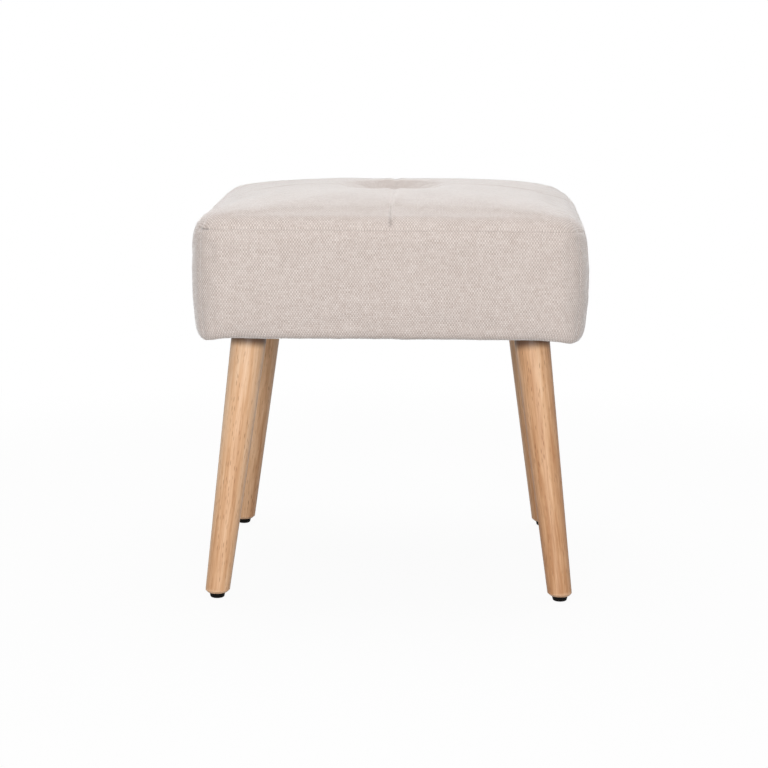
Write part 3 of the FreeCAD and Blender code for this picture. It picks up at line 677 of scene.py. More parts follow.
@dataclass(frozen=True)
class Waves:
    """Smooth, seeded waves in all directions, with their length and height in millimetres."""

    length: float
    height: float
    seed: int
    count: int = 14
    spread: Pair = (0.6, 1.6)
    # What brings the sum of so many waves to about one
    share: float = 3.7

    def at(self, points: np.ndarray) -> np.ndarray:
        """Reads the waves.

        Args:
            points: where they are read.

        Returns:
            A height about zero for each point.
        """
        chance = np.random.default_rng(self.seed)
        total = np.zeros(len(points))
        for _ in range(self.count):
            way = chance.normal(size=3)
            way *= 1 / self.length * chance.uniform(*self.spread) / np.linalg.norm(way)
            total += np.sin(points @ way * math.tau + chance.uniform(0, math.tau))
        return self.height * (total / self.share)


def pairs(values: np.ndarray) -> list[np.ndarray]:
    """Every pair of the values, as a list of the first and one of the second numbers."""
    return [numbers.ravel() for numbers in np.meshgrid(values, values, indexing="ij")]


def square_faces(cells: int) -> np.ndarray:
    """The faces of a square grid of points, facing up.

    Args:
        cells: how many faces each side of it has.

    Returns:
        The four point numbers of each face.
    """
    wide = cells + 1
    a, b = pairs(np.arange(cells))
    corner = a * wide + b
    return np.column_stack([corner, corner + wide, corner + wide + 1, corner + 1])


# The seat's form

class Corner(Enum):
    """The four corners, each with the signs of its place along x and y."""

    BACK_RIGHT = (1, 1)
    BACK_LEFT = (-1, 1)
    FRONT_LEFT = (-1, -1)
    FRONT_RIGHT = (1, -1)


class Side(Enum):
    """The four sides, each with its quarter turn from the front."""

    FRONT = 0
    RIGHT = 1
    BACK = 2
    LEFT = 3


@dataclass(frozen=True)
class SeatForm:
    """The seat's outer form in millimetres: drawn in under, rounded, crowned and tufted."""

    half: float = 230.45
    low: float = 318.0
    high: float = 464.0
    draw: float = 1.7
    bottom_round: float = 12.0
    top_round: float = 27.0
    top_turn: float = 70.0
    corner: float = 35.0
    crown: float = 17.3
    rim_radius: float = 66.0
    tuft_depth: float = 15.8
    floor_radius: float = 7.4
    hem: float = 28.0
    seam_height: float = 446.0
    # How late the sides draw in towards the bottom, and how early the crown rises
    draw_power: float = 1.5
    crown_power: float = 2.2
    # How a ring's corners shrink with its inset and its depth, and the least and the most of them
    inset_shrink: float = 0.35
    depth_shrink: float = 0.65
    least_corner: float = 0.12
    most_corner: float = 0.9

    def profile(self, steps: int = 60) -> np.ndarray:
        """Goes up the profile.

        Args:
            steps: how many steps each stretch is divided into.

        Returns:
            Rows of inset, height and roundness, from the hem's inner edge to the tuft.
        """
        share = np.linspace(0, 1, steps)
        none = np.zeros(steps)
        under = self.draw + self.bottom_round
        quarter = share * math.pi / 2
        straight = self.high - self.top_round - self.low - self.bottom_round
        turn = share * math.radians(self.top_turn)
        rows = [
            np.column_stack([self.hem + (under - self.hem) * share, none + self.low, none]),
            np.column_stack([under - self.bottom_round * np.sin(quarter),
                             self.low + self.bottom_round * (1 - np.cos(quarter)), none]),
            np.column_stack([self.draw * (1 - share) ** self.draw_power,
                             self.low + self.bottom_round + straight * share, none]),
            np.column_stack([self.top_round * (1 - np.cos(turn)),
                             self.high - self.top_round + self.top_round * np.sin(turn), none]),
        ]
        edge_inset, edge_height, _ = rows[-1][-1]
        rim_inset = self.half - self.rim_radius
        rim_height = self.high + self.crown
        rise = 1 - (1 - share) ** self.crown_power
        rows.append(np.column_stack([edge_inset + (rim_inset - edge_inset) * share,
                                     edge_height + (rim_height - edge_height) * rise, share]))
        floor_inset = self.half - self.floor_radius
        fall = 0.5 * (1 - np.cos(math.pi * share)) / 2 + 0.5 * (1 - (1 - share) ** 2)
        rows.append(np.column_stack([rim_inset + (floor_inset - rim_inset) * share,
                                     rim_height - self.tuft_depth * fall, none + 1]))
        rows.append(np.column_stack([floor_inset + (self.half - floor_inset) * share,
                                     none + rim_height - self.tuft_depth, none + 1]))
        joined = np.vstack(rows)
        fresh = np.append(True, np.abs(np.diff(joined[:, :2], axis=0)).sum(1) > 1e-6)
        return joined[fresh]

    def ring(self, inset: np.ndarray, roundness: np.ndarray, t: np.ndarray,
             depth: float = 0.0) -> tuple[np.ndarray, np.ndarray]:
        """Finds points on rounded squares.

        Args:
            inset: how far each point's square is inside the seat's widest one.
            roundness: how round each square is.
            t: the place along its side, from one corner's middle at -1 to the next one's at 1.
            depth: how far this layer is below the outer face.

        Returns:
            The distance along the side from its middle, and the one out from the seat's middle.
        """
        half = self.half - inset
        radius = np.maximum(self.corner - inset * self.inset_shrink - depth * self.depth_shrink,
                            self.corner * self.least_corner)
        widest = self.most_corner * half
        radius = np.minimum(radius + (widest - radius) * roundness, widest)
        straight = half - radius
        length = np.abs(t) * (straight + radius * math.pi / 4)
        angle = np.clip((length - straight) / np.maximum(radius, 1e-9), 0, None)
        along = np.where(length <= straight, length, straight + radius * np.sin(angle))
        out = np.where(length <= straight, half, straight + radius * np.cos(angle))
        return along * np.sign(t), out


@dataclass
class CoverGrid:
    """The whole cover as one grid: a square one for the top, rings of points for the sides."""

    form: SeatForm
    across: int
    rows: int
    points: np.ndarray = field(init=False)
    faces: np.ndarray = field(init=False)
    panel: np.ndarray = field(init=False)
    arc: np.ndarray = field(init=False)
    t: np.ndarray = field(init=False)
    side: np.ndarray = field(init=False)
    along: np.ndarray = field(init=False)
    # The painted shade and light of each point, by which the cloth's colour is multiplied
    shade: np.ndarray = field(init=False)
    seam_arc: float = field(init=False)

    def __post_init__(self) -> None:
        """Builds the points and the faces."""
        profile = self.form.profile()
        arcs = np.append(0, np.cumsum(np.hypot(*np.diff(profile[:, :2], axis=0).T)))
        first = int(np.argmax(profile[:, 1] >= self.form.seam_height))
        below, above = profile[first - 1, 1], profile[first, 1]
        share = (self.form.seam_height - below) / (above - below)
        self.seam_arc = arcs[first - 1] + share * (arcs[first] - arcs[first - 1])
        n = self.across
        i, j = pairs(np.arange(-n, n + 1))
        k = np.maximum(np.abs(i), np.abs(j))
        side = np.select([j == -k, i == k, j == k], [0, 1, 2], 3)
        x = np.select([side == 0, side == 1, side == 2], [i, j, -i], -j) / np.maximum(k, 1)
        inward = 1 - k / n
        top_arc = self.seam_arc + self._bunch(inward) * (arcs[-1] - self.seam_arc)
        loop = self.loop(n)
        down = np.arange(1, self.rows + 1) / self.rows
        row_arc = self.seam_arc * (1 - self._bunch(down))
        count = len(loop)
        t = np.concatenate([x, np.tile(self._loop_t(n), self.rows)])
        self.side = np.concatenate([side, np.tile(self._loop_side(n), self.rows)])
        self.arc = np.concatenate([top_arc, np.repeat(row_arc, count)])
        self.t = np.sign(t) * (0.4 * np.abs(t) + 0.6 * (3 * t * t - 2 * np.abs(t) ** 3))
        inset, height, roundness = [np.interp(self.arc, arcs, profile[:, c]) for c in range(3)]
        self.along, out = self.form.ring(inset, roundness, self.t)
        turn = self.side * math.pi / 2
        self.points = np.column_stack([
            np.cos(turn) * self.along + np.sin(turn) * out,
            np.sin(turn) * self.along - np.cos(turn) * out,
            height,
        ])
        self.shade = np.ones(len(self.points))
        self.faces, self.panel = self._faces(n, loop, len(x))

    @staticmethod
    def _bunch(share: np.ndarray, slope: float = 0.35) -> np.ndarray:
        """Shares that lie closer together near zero, by the slope that they have there."""
        return share - (1 - slope) * share * (1 - share) ** 3

    @staticmethod
    def loop(n: int) -> np.ndarray:
        """The point numbers of the top's outline, round from the front left corner.

        Args:
            n: how many faces there are from the top's middle to its edge.

        Returns:
            The numbers.
        """
        wide = 2 * n + 1
        front = np.arange(0, 2 * n) * wide
        right = 2 * n * wide + np.arange(0, 2 * n)
        back = np.arange(2 * n, 0, -1) * wide + 2 * n
        left = np.arange(2 * n, 0, -1)
        return np.concatenate([front, right, back, left])

    @staticmethod
    def _loop_side(n: int) -> np.ndarray:
        """The side of each point of the outline."""
        return np.repeat(np.arange(4), 2 * n)

    @staticmethod
    def _loop_t(n: int) -> np.ndarray:
        """The even place of each point of the outline along its side."""
        return np.tile(np.arange(-n, n) / n, 4)

    def _faces(self, n: int, loop: np.ndarray, top_count: int) -> tuple[np.ndarray, np.ndarray]:
        """Joins the points.

        Args:
            n: how many faces there are from the top's middle to its edge.
            loop: the point numbers of the top's outline.
            top_count: how many points the top has.

        Returns:
            The faces, and the panel that each belongs to: 0 to 3 the sides, 4 the top.
        """
        top = square_faces(2 * n)
        count = len(loop)
        upper, faces, panels = loop, [top], [np.full(len(top), TOP_PANEL)]
        here = np.arange(count)
        following = (here + 1) % count
        for row in range(self.rows):
            lower = top_count + row * count + here
            faces.append(np.column_stack([lower, lower[following], upper[following], upper]))
            panels.append(here // (2 * n))
            upper = lower
        return np.vstack(faces), np.concatenate(panels)

    def normals(self) -> np.ndarray:
        """Finds which way the surface faces.

        Returns:
            The unit outward direction at each point.
        """
        a, b, c, d = [self.points[self.faces[:, k]] for k in range(4)]
        across = np.cross(c - a, d - b)
        total = np.zeros_like(self.points)
        for k in range(4):
            np.add.at(total, self.faces[:, k], across)
        return total / np.linalg.norm(total, axis=1, keepdims=True)


@dataclass(frozen=True)
class ClothPass:
    """A short cloth simulation in which the padding swells the sewn cover."""

    across: int = 50
    rows: int = 26
    frames: int = 16
    start_depth: float = 1.2
    pressure: float = 3.0
    spare: float = 0.012
    most: float = 0.9
    # How strongly the seam and the corners are held, and how wide the lines and the tuft's hold are
    seam_hold: float = 0.6
    corner_hold: float = 0.35
    line_width: float = 4
    tuft_width: float = 12
    # Arc lengths from the hem's inner edge, over which the hold ends and over which the moves begin
    hem_hold: Pair = (14, 26)
    free_from: Pair = (22, 44)

    def moves(self, fine: CoverGrid) -> np.ndarray:
        """Runs the simulation on a coarser grid.

        Args:
            fine: the grid that is to be moved.

        Returns:
            How far each of its points moves, in millimetres.
        """
        grid = CoverGrid(fine.form, self.across, self.rows)
        piece = self._cloth(grid)
        scene = bpy.context.scene
        for number in range(1, self.frames + 1):
            scene.frame_set(number)
        held = piece.evaluated_get(bpy.context.evaluated_depsgraph_get())
        ended = np.empty(len(grid.points) * 3)
        held.data.vertices.foreach_get("co", ended)
        moved = ended.reshape(-1, 3) / MM - grid.points
        scene.frame_set(1)
        bpy.data.objects.remove(piece)
        moved *= step_up(grid.arc, *self.free_from)[:, None]
        length = np.linalg.norm(moved, axis=1, keepdims=True) + 1e-9
        moved *= self.most * np.tanh(length / self.most) / length
        return self._spread(moved, grid, fine)

    def _cloth(self, grid: CoverGrid) -> bpy.types.Object:
        """Makes the cover as a cloth, held at its hem and its tuft and a little along its seams.

        Args:
            grid: the coarser grid.

        Returns:
            The cloth, with its simulation set up.
        """
        mesh = bpy.data.meshes.new("cloth_pass")
        start = (grid.points - grid.normals() * self.start_depth) * MM
        mesh.from_pydata(start.tolist(), [], grid.faces.tolist())
        piece = bpy.data.objects.new("cloth_pass", mesh)
        bpy.context.scene.collection.objects.link(piece)
        from_seam = np.abs(grid.arc - grid.seam_arc)
        from_corner = (1 - np.abs(grid.t)) * SEAM_HALF
        radius = np.hypot(grid.points[:, 0], grid.points[:, 1])
        seam = self.seam_hold * bell(from_seam, self.line_width)
        corner = bell(from_corner, self.line_width) * (grid.arc < grid.seam_arc)
        corner *= self.corner_hold
        hem = step_up(-grid.arc, -self.hem_hold[1], -self.hem_hold[0])
        hold = np.maximum.reduce([seam, corner, bell(radius, self.tuft_width), hem])
        group = piece.vertex_groups.new(name="held")
        for level in range(1, 11):
            here = np.flatnonzero(np.round(hold * 10) == level)
            if len(here):
                group.add(here.tolist(), level / 10, "REPLACE")
        cloth = piece.modifiers.new("cloth", "CLOTH")
        made = cloth.settings
        made.quality = 6
        made.mass = 0.25
        made.tension_stiffness = 25
        made.compression_stiffness = 12
        made.shear_stiffness = 8
        made.bending_stiffness = 0.3
        made.vertex_group_mass = group.name
        made.shrink_min = -self.spare
        made.use_pressure = True
        made.uniform_pressure_force = self.pressure
        made.effector_weights.gravity = 0
        return piece

    def _spread(self, moved: np.ndarray, coarse: CoverGrid, fine: CoverGrid) -> np.ndarray:
        """Carries the moves from the coarse grid to the fine one, each point to its own place.

        Args:
            moved: how far each point of the coarse grid moves.
            coarse: the grid of the simulation.
            fine: the grid of the cover.

        Returns:
            How far each point of the fine grid moves.
        """
        n, m = coarse.across, fine.across
        wide = 2 * n + 1
        top = moved[:wide * wide].reshape(wide, wide, 3)
        places = np.linspace(0, 2 * n, 2 * m + 1)
        top = self._read(self._read(top, places, 0), places, 1)
        loop = moved[coarse.loop(n)]
        rows = np.vstack([loop, moved[wide * wide:]]).reshape(coarse.rows + 1, 8 * n, 3)
        rows = np.concatenate([rows, rows[:, :1]], axis=1)
        rows = self._read(rows, np.linspace(0, 8 * n, 8 * m + 1)[:-1], 1)
        rows = self._read(rows, np.linspace(0, coarse.rows, fine.rows + 1)[1:], 0)
        return np.vstack([top.reshape(-1, 3), rows.reshape(-1, 3)])

    @staticmethod
    def _read(values: np.ndarray, places: np.ndarray, axis: int) -> np.ndarray:
        """Reads rows or columns at places between them, on a smooth curve through them.

        Args:
            values: the rows and columns.
            places: where they are read, in steps from the first.
            axis: whether places are along the rows or the columns.

        Returns:
            The values at those places.
        """
        last = values.shape[axis] - 1
        low = np.minimum(np.floor(places).astype(int), last - 1)
        share = (places - low).reshape([-1 if k == axis else 1 for k in range(3)])
        before, here, after, beyond = [
            values.take(np.clip(low + step, 0, last), axis) for step in (-1, 0, 1, 2)
        ]
        bend = 2 * before - 5 * here + 4 * after - beyond
        turn = 3 * (here - after) + beyond - before
        return here + 0.5 * share * (after - before + share * (bend + share * turn))


@dataclass
class SeatCover:
    """The fabric cover: a tufted top panel and four side panels turned under as a hem."""

    form: SeatForm
    finish: LinenWeave
    swelling: ClothPass = ClothPass()
    thickness: float = 1.2
    across: int = 100
    rows: int = 64
    # The sunk stitch lines: along the top panel, and down the corners with their soft shoulders
    seam_depth: float = 0.2
    seam_width: float = 1.1
    seam_shoulder: float = 4
    corner_seam: float = 1.3
    corner_shoulder: float = 4.5
    # The hem: how far it hangs at the corners and over what width, its lower lip, its scallops,
    # and the arc lengths from its inner edge over which its flat comes free
    corner_sag: float = 5.6
    sag_width: float = 23
    lip: float = 0.75
    scallop: float = 0.2
    scallop_pitch: float = 41
    hem_free: Pair = (8, 20)
    # The pleats from the tuft to the front, the right, the back and the left edge, with the painted
    # shade in their folds
    pleat_width: float = 1.3
    pleat_spread: float = 3.2
    pleat_run: Pair = (70, 205)
    pleat_depths: Four = (2.4, 0.7, 1.6, 0.7)
    pleat_lean: Four = (2.6, 3.0, -2.6, 2.0)
    pleat_shades: Four = (0.3, 0.06, 0.16, 0.06)
    fold_width: float = 1.4
    # The dip's painted light, which makes it lighter than the cloth around it, and the distances
    # from the middle over which it ends
    dip_painted_light: float = -0.035
    dip_reach: Pair = (22, 64)
    # Uneven filling on the top and on the sides
    top_waves: Waves = Waves(95, 0.35, 11)
    side_waves: Waves = Waves(26, 0.14, 5)
    # The wrinkles at one back corner
    wrinkle_place: Pair = (186, 178)
    wrinkle_reach: float = 24
    wrinkle_depth: float = 0.5
    wrinkle_pitch: float = 4.6
    # Painted shade of a small pucker where the seams meet at one front corner: its place and its
    # strength
    corner_pucker_place: Triple = (-216, -223, 445.8)
    corner_pucker_shade: float = 0.45
    # What the top panel's cut has over its plan, and how far the side panels' cuts lie apart
    edge_reach: float = 34
    edge_spare: float = 0.3
    cut_apart: float = 71.3
    # Height and swell of the sides, which pull in at the hem
    belly: tuple[Pair, ...] = (
        (318, -1.0), (324, -0.9), (333, 0.0), (343, 0.7), (353, 1.4), (363, 2.1), (382, 2.0),
        (397, 1.7), (416, 1.0), (431, 0.6), (440, 0.0),
    )
    # Place, reach and height of the single swells and hollows that handling has left
    bulges: tuple[tuple[float, float, float, float, float], ...] = (
        (228, -215, 452, 38, -4.0), (222, 70, 458, 110, 5.2), (198, 198, 462, 34, 0.6),
        (-222, 90, 455, 110, 0.3), (-225, -216, 446, 4.5, -1.8),
    )
    side_flat: Pair = (0.466, 0.175)
    top_flat: Pair = (0.493, 0.493)

    def build(self) -> list[bpy.types.Object]:
        """Makes the five panels.

        Returns:
            The panels, the top one last.
        """
        grid = CoverGrid(self.form, self.across, self.rows)
        grid.points += self.swelling.moves(grid)
        self.shape(grid)
        material = self.finish.material()
        panels = []
        for side in Side:
            name = f"{side.name.lower()}_panel"
            panels.append(self._panel(grid, side.value, name, material, self.side_flat))
        panels.append(self._panel(grid, TOP_PANEL, "top_panel", material, self.top_flat))
        return panels

    def shape(self, grid: CoverGrid) -> None:
        """Works the slack, the seams, the pleats and the folds into the grid.

        Args:
            grid: the cover, whose points are moved and whose painted shade and light are set.
        """
        points, normals = grid.points, grid.normals()
        from_seam = grid.arc - grid.seam_arc
        radius = np.hypot(points[:, 0], points[:, 1])
        push = np.interp(points[:, 2], *zip(*self.belly)) * (1 - step_up(from_seam, -8, 14))
        for x, y, z, reach, much in self.bulges:
            push += much * bell(np.linalg.norm(points - (x, y, z), axis=1), reach)
        sunk = bell(from_seam, self.seam_width) + 0.35 * bell(from_seam, self.seam_shoulder)
        push -= self.seam_depth * sunk
        from_corner = (1 - np.abs(grid.t)) * SEAM_HALF
        below = step_up(-from_seam, -1, 3)
        sunk = bell(from_corner, self.corner_seam) + 0.3 * bell(from_corner, self.corner_shoulder)
        push -= self.seam_depth * below * sunk
        push += self._pleats(grid, radius)
        push += self.top_waves.at(points) * step_up(radius, 60, 120)
        push += self.side_waves.at(points) * step_up(-from_seam, -20, 10)
        from_wrinkles = np.hypot(*(points[:, :2] - self.wrinkle_place).T)
        wrinkles = np.sin((points[:, 0] - 0.8 * points[:, 1]) / self.wrinkle_pitch)
        push += self.wrinkle_depth * wrinkles * bell(from_wrinkles, self.wrinkle_reach)
        grid.shade = self._shades(grid, radius)
        free = step_up(grid.arc, *self.hem_free)
        points += normals * (push * free)[:, None]
        self._hang(grid, from_corner, free)

    def _hang(self, grid: CoverGrid, from_corner: np.ndarray, free: np.ndarray) -> None:
        """Lets the hem hang at the corners and gives it its lip and its shallow scallops.

        Args:
            grid: the cover.
            from_corner: each point's distance from the nearest corner.
            free: how free each point is of the hem's flat.
        """
        points, low = grid.points, self.form.low
        hem = step_up(-points[:, 2], -low - 16, -low - 2)
        hang = bell(from_corner, self.sag_width) * hem * step_up(grid.arc, 12, 24)
        points[:, 2] -= self.corner_sag * hang * (1 + 0.25 * np.sin(grid.side * 2.3 + 0.6))
        scallop = self.scallop * np.cos(grid.along / self.scallop_pitch * math.tau)
        scallop *= bell(from_corner - SEAM_HALF, 170)
        lip = self.lip * step_up(grid.arc, 11.5, 15)
        points[:, 2] += (scallop * free - lip) * hem

    def _pleat_lines(self, grid: CoverGrid, radius: np.ndarray) -> tuple[np.ndarray, np.ndarray]:
        """Finds the lines of the pleats.

        Args:
            grid: the cover.
            radius: each point's distance from the seat's middle.

        Returns:
            How open the pleat is at each point, and the point's distance beside its line.
        """
        near, far = self.pleat_run
        opening = step_up(-radius, -far, -near)
        return opening, grid.along - np.choose(grid.side, self.pleat_lean) * opening

    def _pleats(self, grid: CoverGrid, radius: np.ndarray) -> np.ndarray:
        """The folds that run from the tuft to the middle of each edge.

        Args:
            grid: the cover.
            radius: each point's distance from the seat's middle.

        Returns:
            How far each point moves out, in millimetres.
        """
        opening, beside = self._pleat_lines(grid, radius)
        depth = np.choose(grid.side, self.pleat_depths)
        width = self.pleat_width + self.pleat_spread * opening
        reach = step_up(radius, 8, 30) * step_up(grid.arc - grid.seam_arc, 1, 9)
        valley = -depth * (1 - 0.45 * opening) * bell(beside, width)
        ridge = bell(beside - 2.4 * width, 1.3 * width) + bell(beside + 2.4 * width, 1.3 * width)
        return (valley + 0.22 * depth * ridge) * reach

    def _shades(self, grid: CoverGrid, radius: np.ndarray) -> np.ndarray:
        """The painted light and shade of each point: painted light in the dip, painted shade in the
        folds and at a small pucker at one front corner.

        Args:
            grid: the cover.
            radius: each point's distance from the seat's middle.

        Returns:
            The share by which the cloth's colour is multiplied.
        """
        _, beside = self._pleat_lines(grid, radius)
        from_seam = grid.arc - grid.seam_arc
        # Painted shade along each pleat's fold
        fold = bell(beside, self.fold_width) * (0.3 + 0.7 * step_up(radius, 165, 205))
        fold *= step_up(from_seam, 3, 9) * step_up(radius, 20, 50)
        # Painted light in the dip, stronger on its left half
        leftward = 1 - 0.6 * np.clip(grid.points[:, 0] / 30, -1, 1)
        dip = (1 - step_up(radius, *self.dip_reach)) * leftward
        # Painted shade at the small pucker at one front corner
        x, y, z = (grid.points - self.corner_pucker_place).T
        corner_pucker_mask = bell(z, 1.1) * (1 - step_up(np.hypot(x, y), 5, 8))
        lost = np.choose(grid.side, self.pleat_shades) * fold + self.dip_painted_light * dip
        return 1 - lost - self.corner_pucker_shade * corner_pucker_mask

    def _panel(self, grid: CoverGrid, number: int, name: str, material: bpy.types.Material,
               flat: Pair) -> bpy.types.Object:
        """Cuts one panel out of the grid and gives it its thickness.

        Args:
            grid: the cover.
            number: the panel's number in the grid.
            name: the panel's name.
            material: its finish.
            flat: its width and length as it was cut, in metres; not used.

        Returns:
            The panel, as a sheet.
        """
        faces = grid.faces[grid.panel == number]
        used, numbered = np.unique(faces, return_inverse=True)
        faces = numbered.reshape(faces.shape)
        if number == TOP_PANEL:
            spare = np.maximum(grid.seam_arc + self.edge_reach - grid.arc[used], 0)
            spare *= self.edge_spare
            x, y, _ = grid.points[used].T
            turn = grid.side[used] * math.pi / 2
            cut = np.column_stack([x + np.sin(turn) * spare, y - np.cos(turn) * spare])
        else:
            t = np.where(grid.side[used] == number, grid.t[used], 1.0)
            cut = np.column_stack([t * SEAM_HALF + number * self.cut_apart, grid.arc[used]])
        points = grid.points[used] * MM
        piece = finish_piece(name, points, faces.tolist(), cut * MM, material,
                             (f"cover_{name}",))
        # The points hold their painted shade and light for the weave's colour
        tone = piece.data.attributes.new("shade", "FLOAT", "POINT")
        tone.data.foreach_set("value", grid.shade[used])
        thicken(piece, self.thickness * MM)
        return piece


@dataclass
class Filling:
    """What lies inside the cover: the wadding and the foam pad."""

    cover: SeatCover
    across: int = 40
    rows: int = 26
    # How deep each layer lies below the cover's face, and where it ends below
    wadding_depth: float = 4.2
    wadding_rise: float = 4
    foam_depth: float = 13.0
    foam_low: float = 404.5
    waves: Waves = Waves(22, 0.25, 3)

    def build(self) -> list[bpy.types.Object]:
        """Makes the wadding and the foam.

        Returns:
            Both pieces.
        """
        wadding = OpenFoam("matted_wadding", linear(238, 238, 236), linear(206, 206, 204),
                           1.6 * MM, 0.25).material()
        foam = OpenFoam("cut_foam", linear(226, 214, 170), linear(190, 172, 118),
                        1.3 * MM).material()
        low = self.cover.form.low + self.wadding_rise
        return [
            self._layer("wadding", self.wadding_depth, low, wadding, "wadding_wrap"),
            self._layer("foam", self.foam_depth, self.foam_low, foam, "foam_pad"),
        ]

    def _layer(self, name: str, depth: float, low: float, material: bpy.types.Material,
               node: str) -> bpy.types.Object:
        """Makes one layer.

        Args:
            name: the piece's name.
            depth: how far it lies below the cover's face.
            low: the height that it goes down to, where it is closed.
            material: its finish.
            node: the solid that it stands for.

        Returns:
            The piece.
        """
        grid = CoverGrid(self.cover.form, self.across, self.rows)
        normals = grid.normals()
        self.cover.shape(grid)
        points = grid.points - normals * depth
        points += normals * self.waves.at(points)[:, None]
        points[:, 2] = np.maximum(points[:, 2], low)
        ring = np.arange(len(points) - 8 * self.across, len(points))
        cap = np.column_stack([np.roll(ring, -1), ring, np.full(len(ring), len(points))])
        points = np.vstack([points, (0, 0, low)])
        faces = grid.faces.tolist() + cap.tolist()
        piece = finish_piece(name, points * MM, faces, None, material, (node,))
        return piece


@dataclass
class DustCover:
    """The thin black cloth under the seat, stapled round its folded edge."""

    half: float = 209.0
    pan_half: float = 202.0
    pan_round: float = 27.0
    border: float = 317.7
    pan: float = 319.2
    thickness: float = 0.5
    across: int = 70
    # How far its middle hangs, and how deep and how long its puckers are along x and y
    slack: float = 0.9
    pucker: float = 0.12
    pucker_lengths: Pair = (7.3, 7.9)
    # How far out the puckers begin, and how far round each leg the cloth lies flat
    pucker_from: Pair = (120, 195)
    leg_clear: Pair = (24, 60)

    def build(self) -> bpy.types.Object:
        """Makes the cloth.

        Returns:
            The cloth, as a sheet.
        """
        n = self.across
        share = np.linspace(-1, 1, 2 * n + 1)
        lines = np.sign(share) * (1 - (1 - np.abs(share)) ** 1.25) * self.half
        x, y = pairs(lines)
        reach = np.maximum(np.abs(x), np.abs(y))
        straight = self.pan_half - self.pan_round
        past = np.hypot(np.maximum(np.abs(x) - straight, 0), np.maximum(np.abs(y) - straight, 0))
        inside = np.maximum(reach, straight + past)
        rise = 1 - step_up(inside, self.pan_half - 3.5, self.pan_half - 0.5)
        long_x, long_y = self.pucker_lengths
        puckers = self.pucker * np.sin(x / long_x) * np.sin(y / long_y)
        puckers *= step_up(reach, *self.pucker_from) * rise
        slack = -self.slack * (1 - (reach / self.half) ** 2) * rise
        clear = np.ones(len(x))
        for corner in Corner:
            side_x, side_y = corner.value
            from_leg = np.hypot(x - side_x * LEG_PLACE, y - side_y * LEG_PLACE)
            clear *= step_up(from_leg, *self.leg_clear)
        z = self.border + (self.pan - self.border) * rise + (puckers + slack) * clear
        faces = square_faces(2 * n)[:, [0, 3, 2, 1]]
        points = np.column_stack([x, y, z - self.thickness / 2])
        piece = finish_piece("dust_cloth", points * MM, faces.tolist(), points[:, :2] * MM,
                             BondedCloth().material(), ("dust_cover",))
        thicken(piece, self.thickness * MM)
        return piece


@dataclass
class Legs:
    """The four splayed legs and their black glides."""

    foot: Pair = (205.5, 195.4)
    foot_height: float = 6.8
    top_height: float = 318.9
    # How dark and how flecked the back right, back left, front left and front right leg are: each
    # leg's own tone, and for the back legs under the seat partly painted shade
    depths: Four = (0.45, 0.1, -0.35, 0.7)
    flecks: Four = (0.6, 0.95, 0.6, 0.65)
    # How the grain is turned and shifted from leg to leg
    first_turn: float = 0.9
    next_turn: float = 1.7
    grain_shift: float = 0.137

    def dress(self) -> list[str]:
        """Gives each leg wood along its own axis, and each glide its plastic.

        Returns:
            The names of the nodes that were dressed.
        """
        plastic = MouldedPlastic("glide_plastic", linear(8, 6, 5), linear(20, 16, 14),
                                 0.6, 0.1).material()
        names = []
        for k, corner in enumerate(Corner):
            label = corner.name.lower()
            side_x, side_y = corner.value
            low = Vector((side_x * self.foot[0], side_y * self.foot[1], self.foot_height)) * MM
            high = Vector((side_x * LEG_PLACE, side_y * LEG_PLACE, self.top_height)) * MM
            turn = (high - low).to_track_quat("Z", "X").to_matrix().to_4x4()
            spin = Matrix.Rotation(self.first_turn + self.next_turn * k, 4, "Z")
            wood = OiledWood(f"oiled_wood_{label}", low, turn @ spin, self.grain_shift * (k + 1),
                             self.depths[k], self.flecks[k])
            dress_node(f"leg_{label}", wood.material())
            dress_node(f"glide_{label}", plastic)
            names += [f"leg_{label}", f"glide_{label}"]
        return names


def dress_node(name: str, material: bpy.types.Material) -> None:
    """Gives a solid of the frame a finish.

    Args:
        name: the solid's node.
        material: the finish.
    """
    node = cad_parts[name]
    if not node.material_slots:
        node.data.materials.append(material)
    for held in node.material_slots:
        held.material = material


@dataclass
class Carcass:
    """The wooden frame, the deck, the tuft's tie and the fastenings."""

    pine_light: Colour = linear(226, 196, 150)
    pine_dark: Colour = linear(188, 146, 98)
    birch_light: Colour = linear(222, 202, 168)
    birch_dark: Colour = linear(182, 152, 112)
    ply: float = 1.3 * MM

    def dress(self) -> list[str]:
        """Gives every hidden node its finish.

        Returns:
            The names of the nodes that were dressed.
        """
        pine_x, pine_y, pine_z = [
            SawnBoard(name, self.pine_light, self.pine_dark, axis).material()
            for axis, name in enumerate(("pine_across", "pine_along", "pine_upright"))
        ]
        birch = SawnBoard("birch_ply", self.birch_light, self.birch_dark, 0, self.ply).material()
        steel = PlatedSteel().material()
        anchor = MouldedPlastic("anchor_plastic", linear(232, 230, 224), linear(205, 202, 194),
                                0.35).material()
        wanted = {
            "front_rail": pine_x, "back_rail": pine_x, "left_rail": pine_y, "right_rail": pine_y,
            "seat_deck": birch, "tuft_anchor": anchor, "tuft_twine": WaxedTwine().material(),
        }
        wanted.update((name, steel) for name in (
            "rail_screws", "corner_block_screws", "deck_screws", "cover_staples",
            "dust_cover_staples", "tee_nuts", "hanger_bolts", "glide_nails",
        ))
        wanted.update((f"corner_block_{corner.name.lower()}", pine_z) for corner in Corner)
        for name, material in wanted.items():
            dress_node(name, material)
        return list(wanted)


# The studio

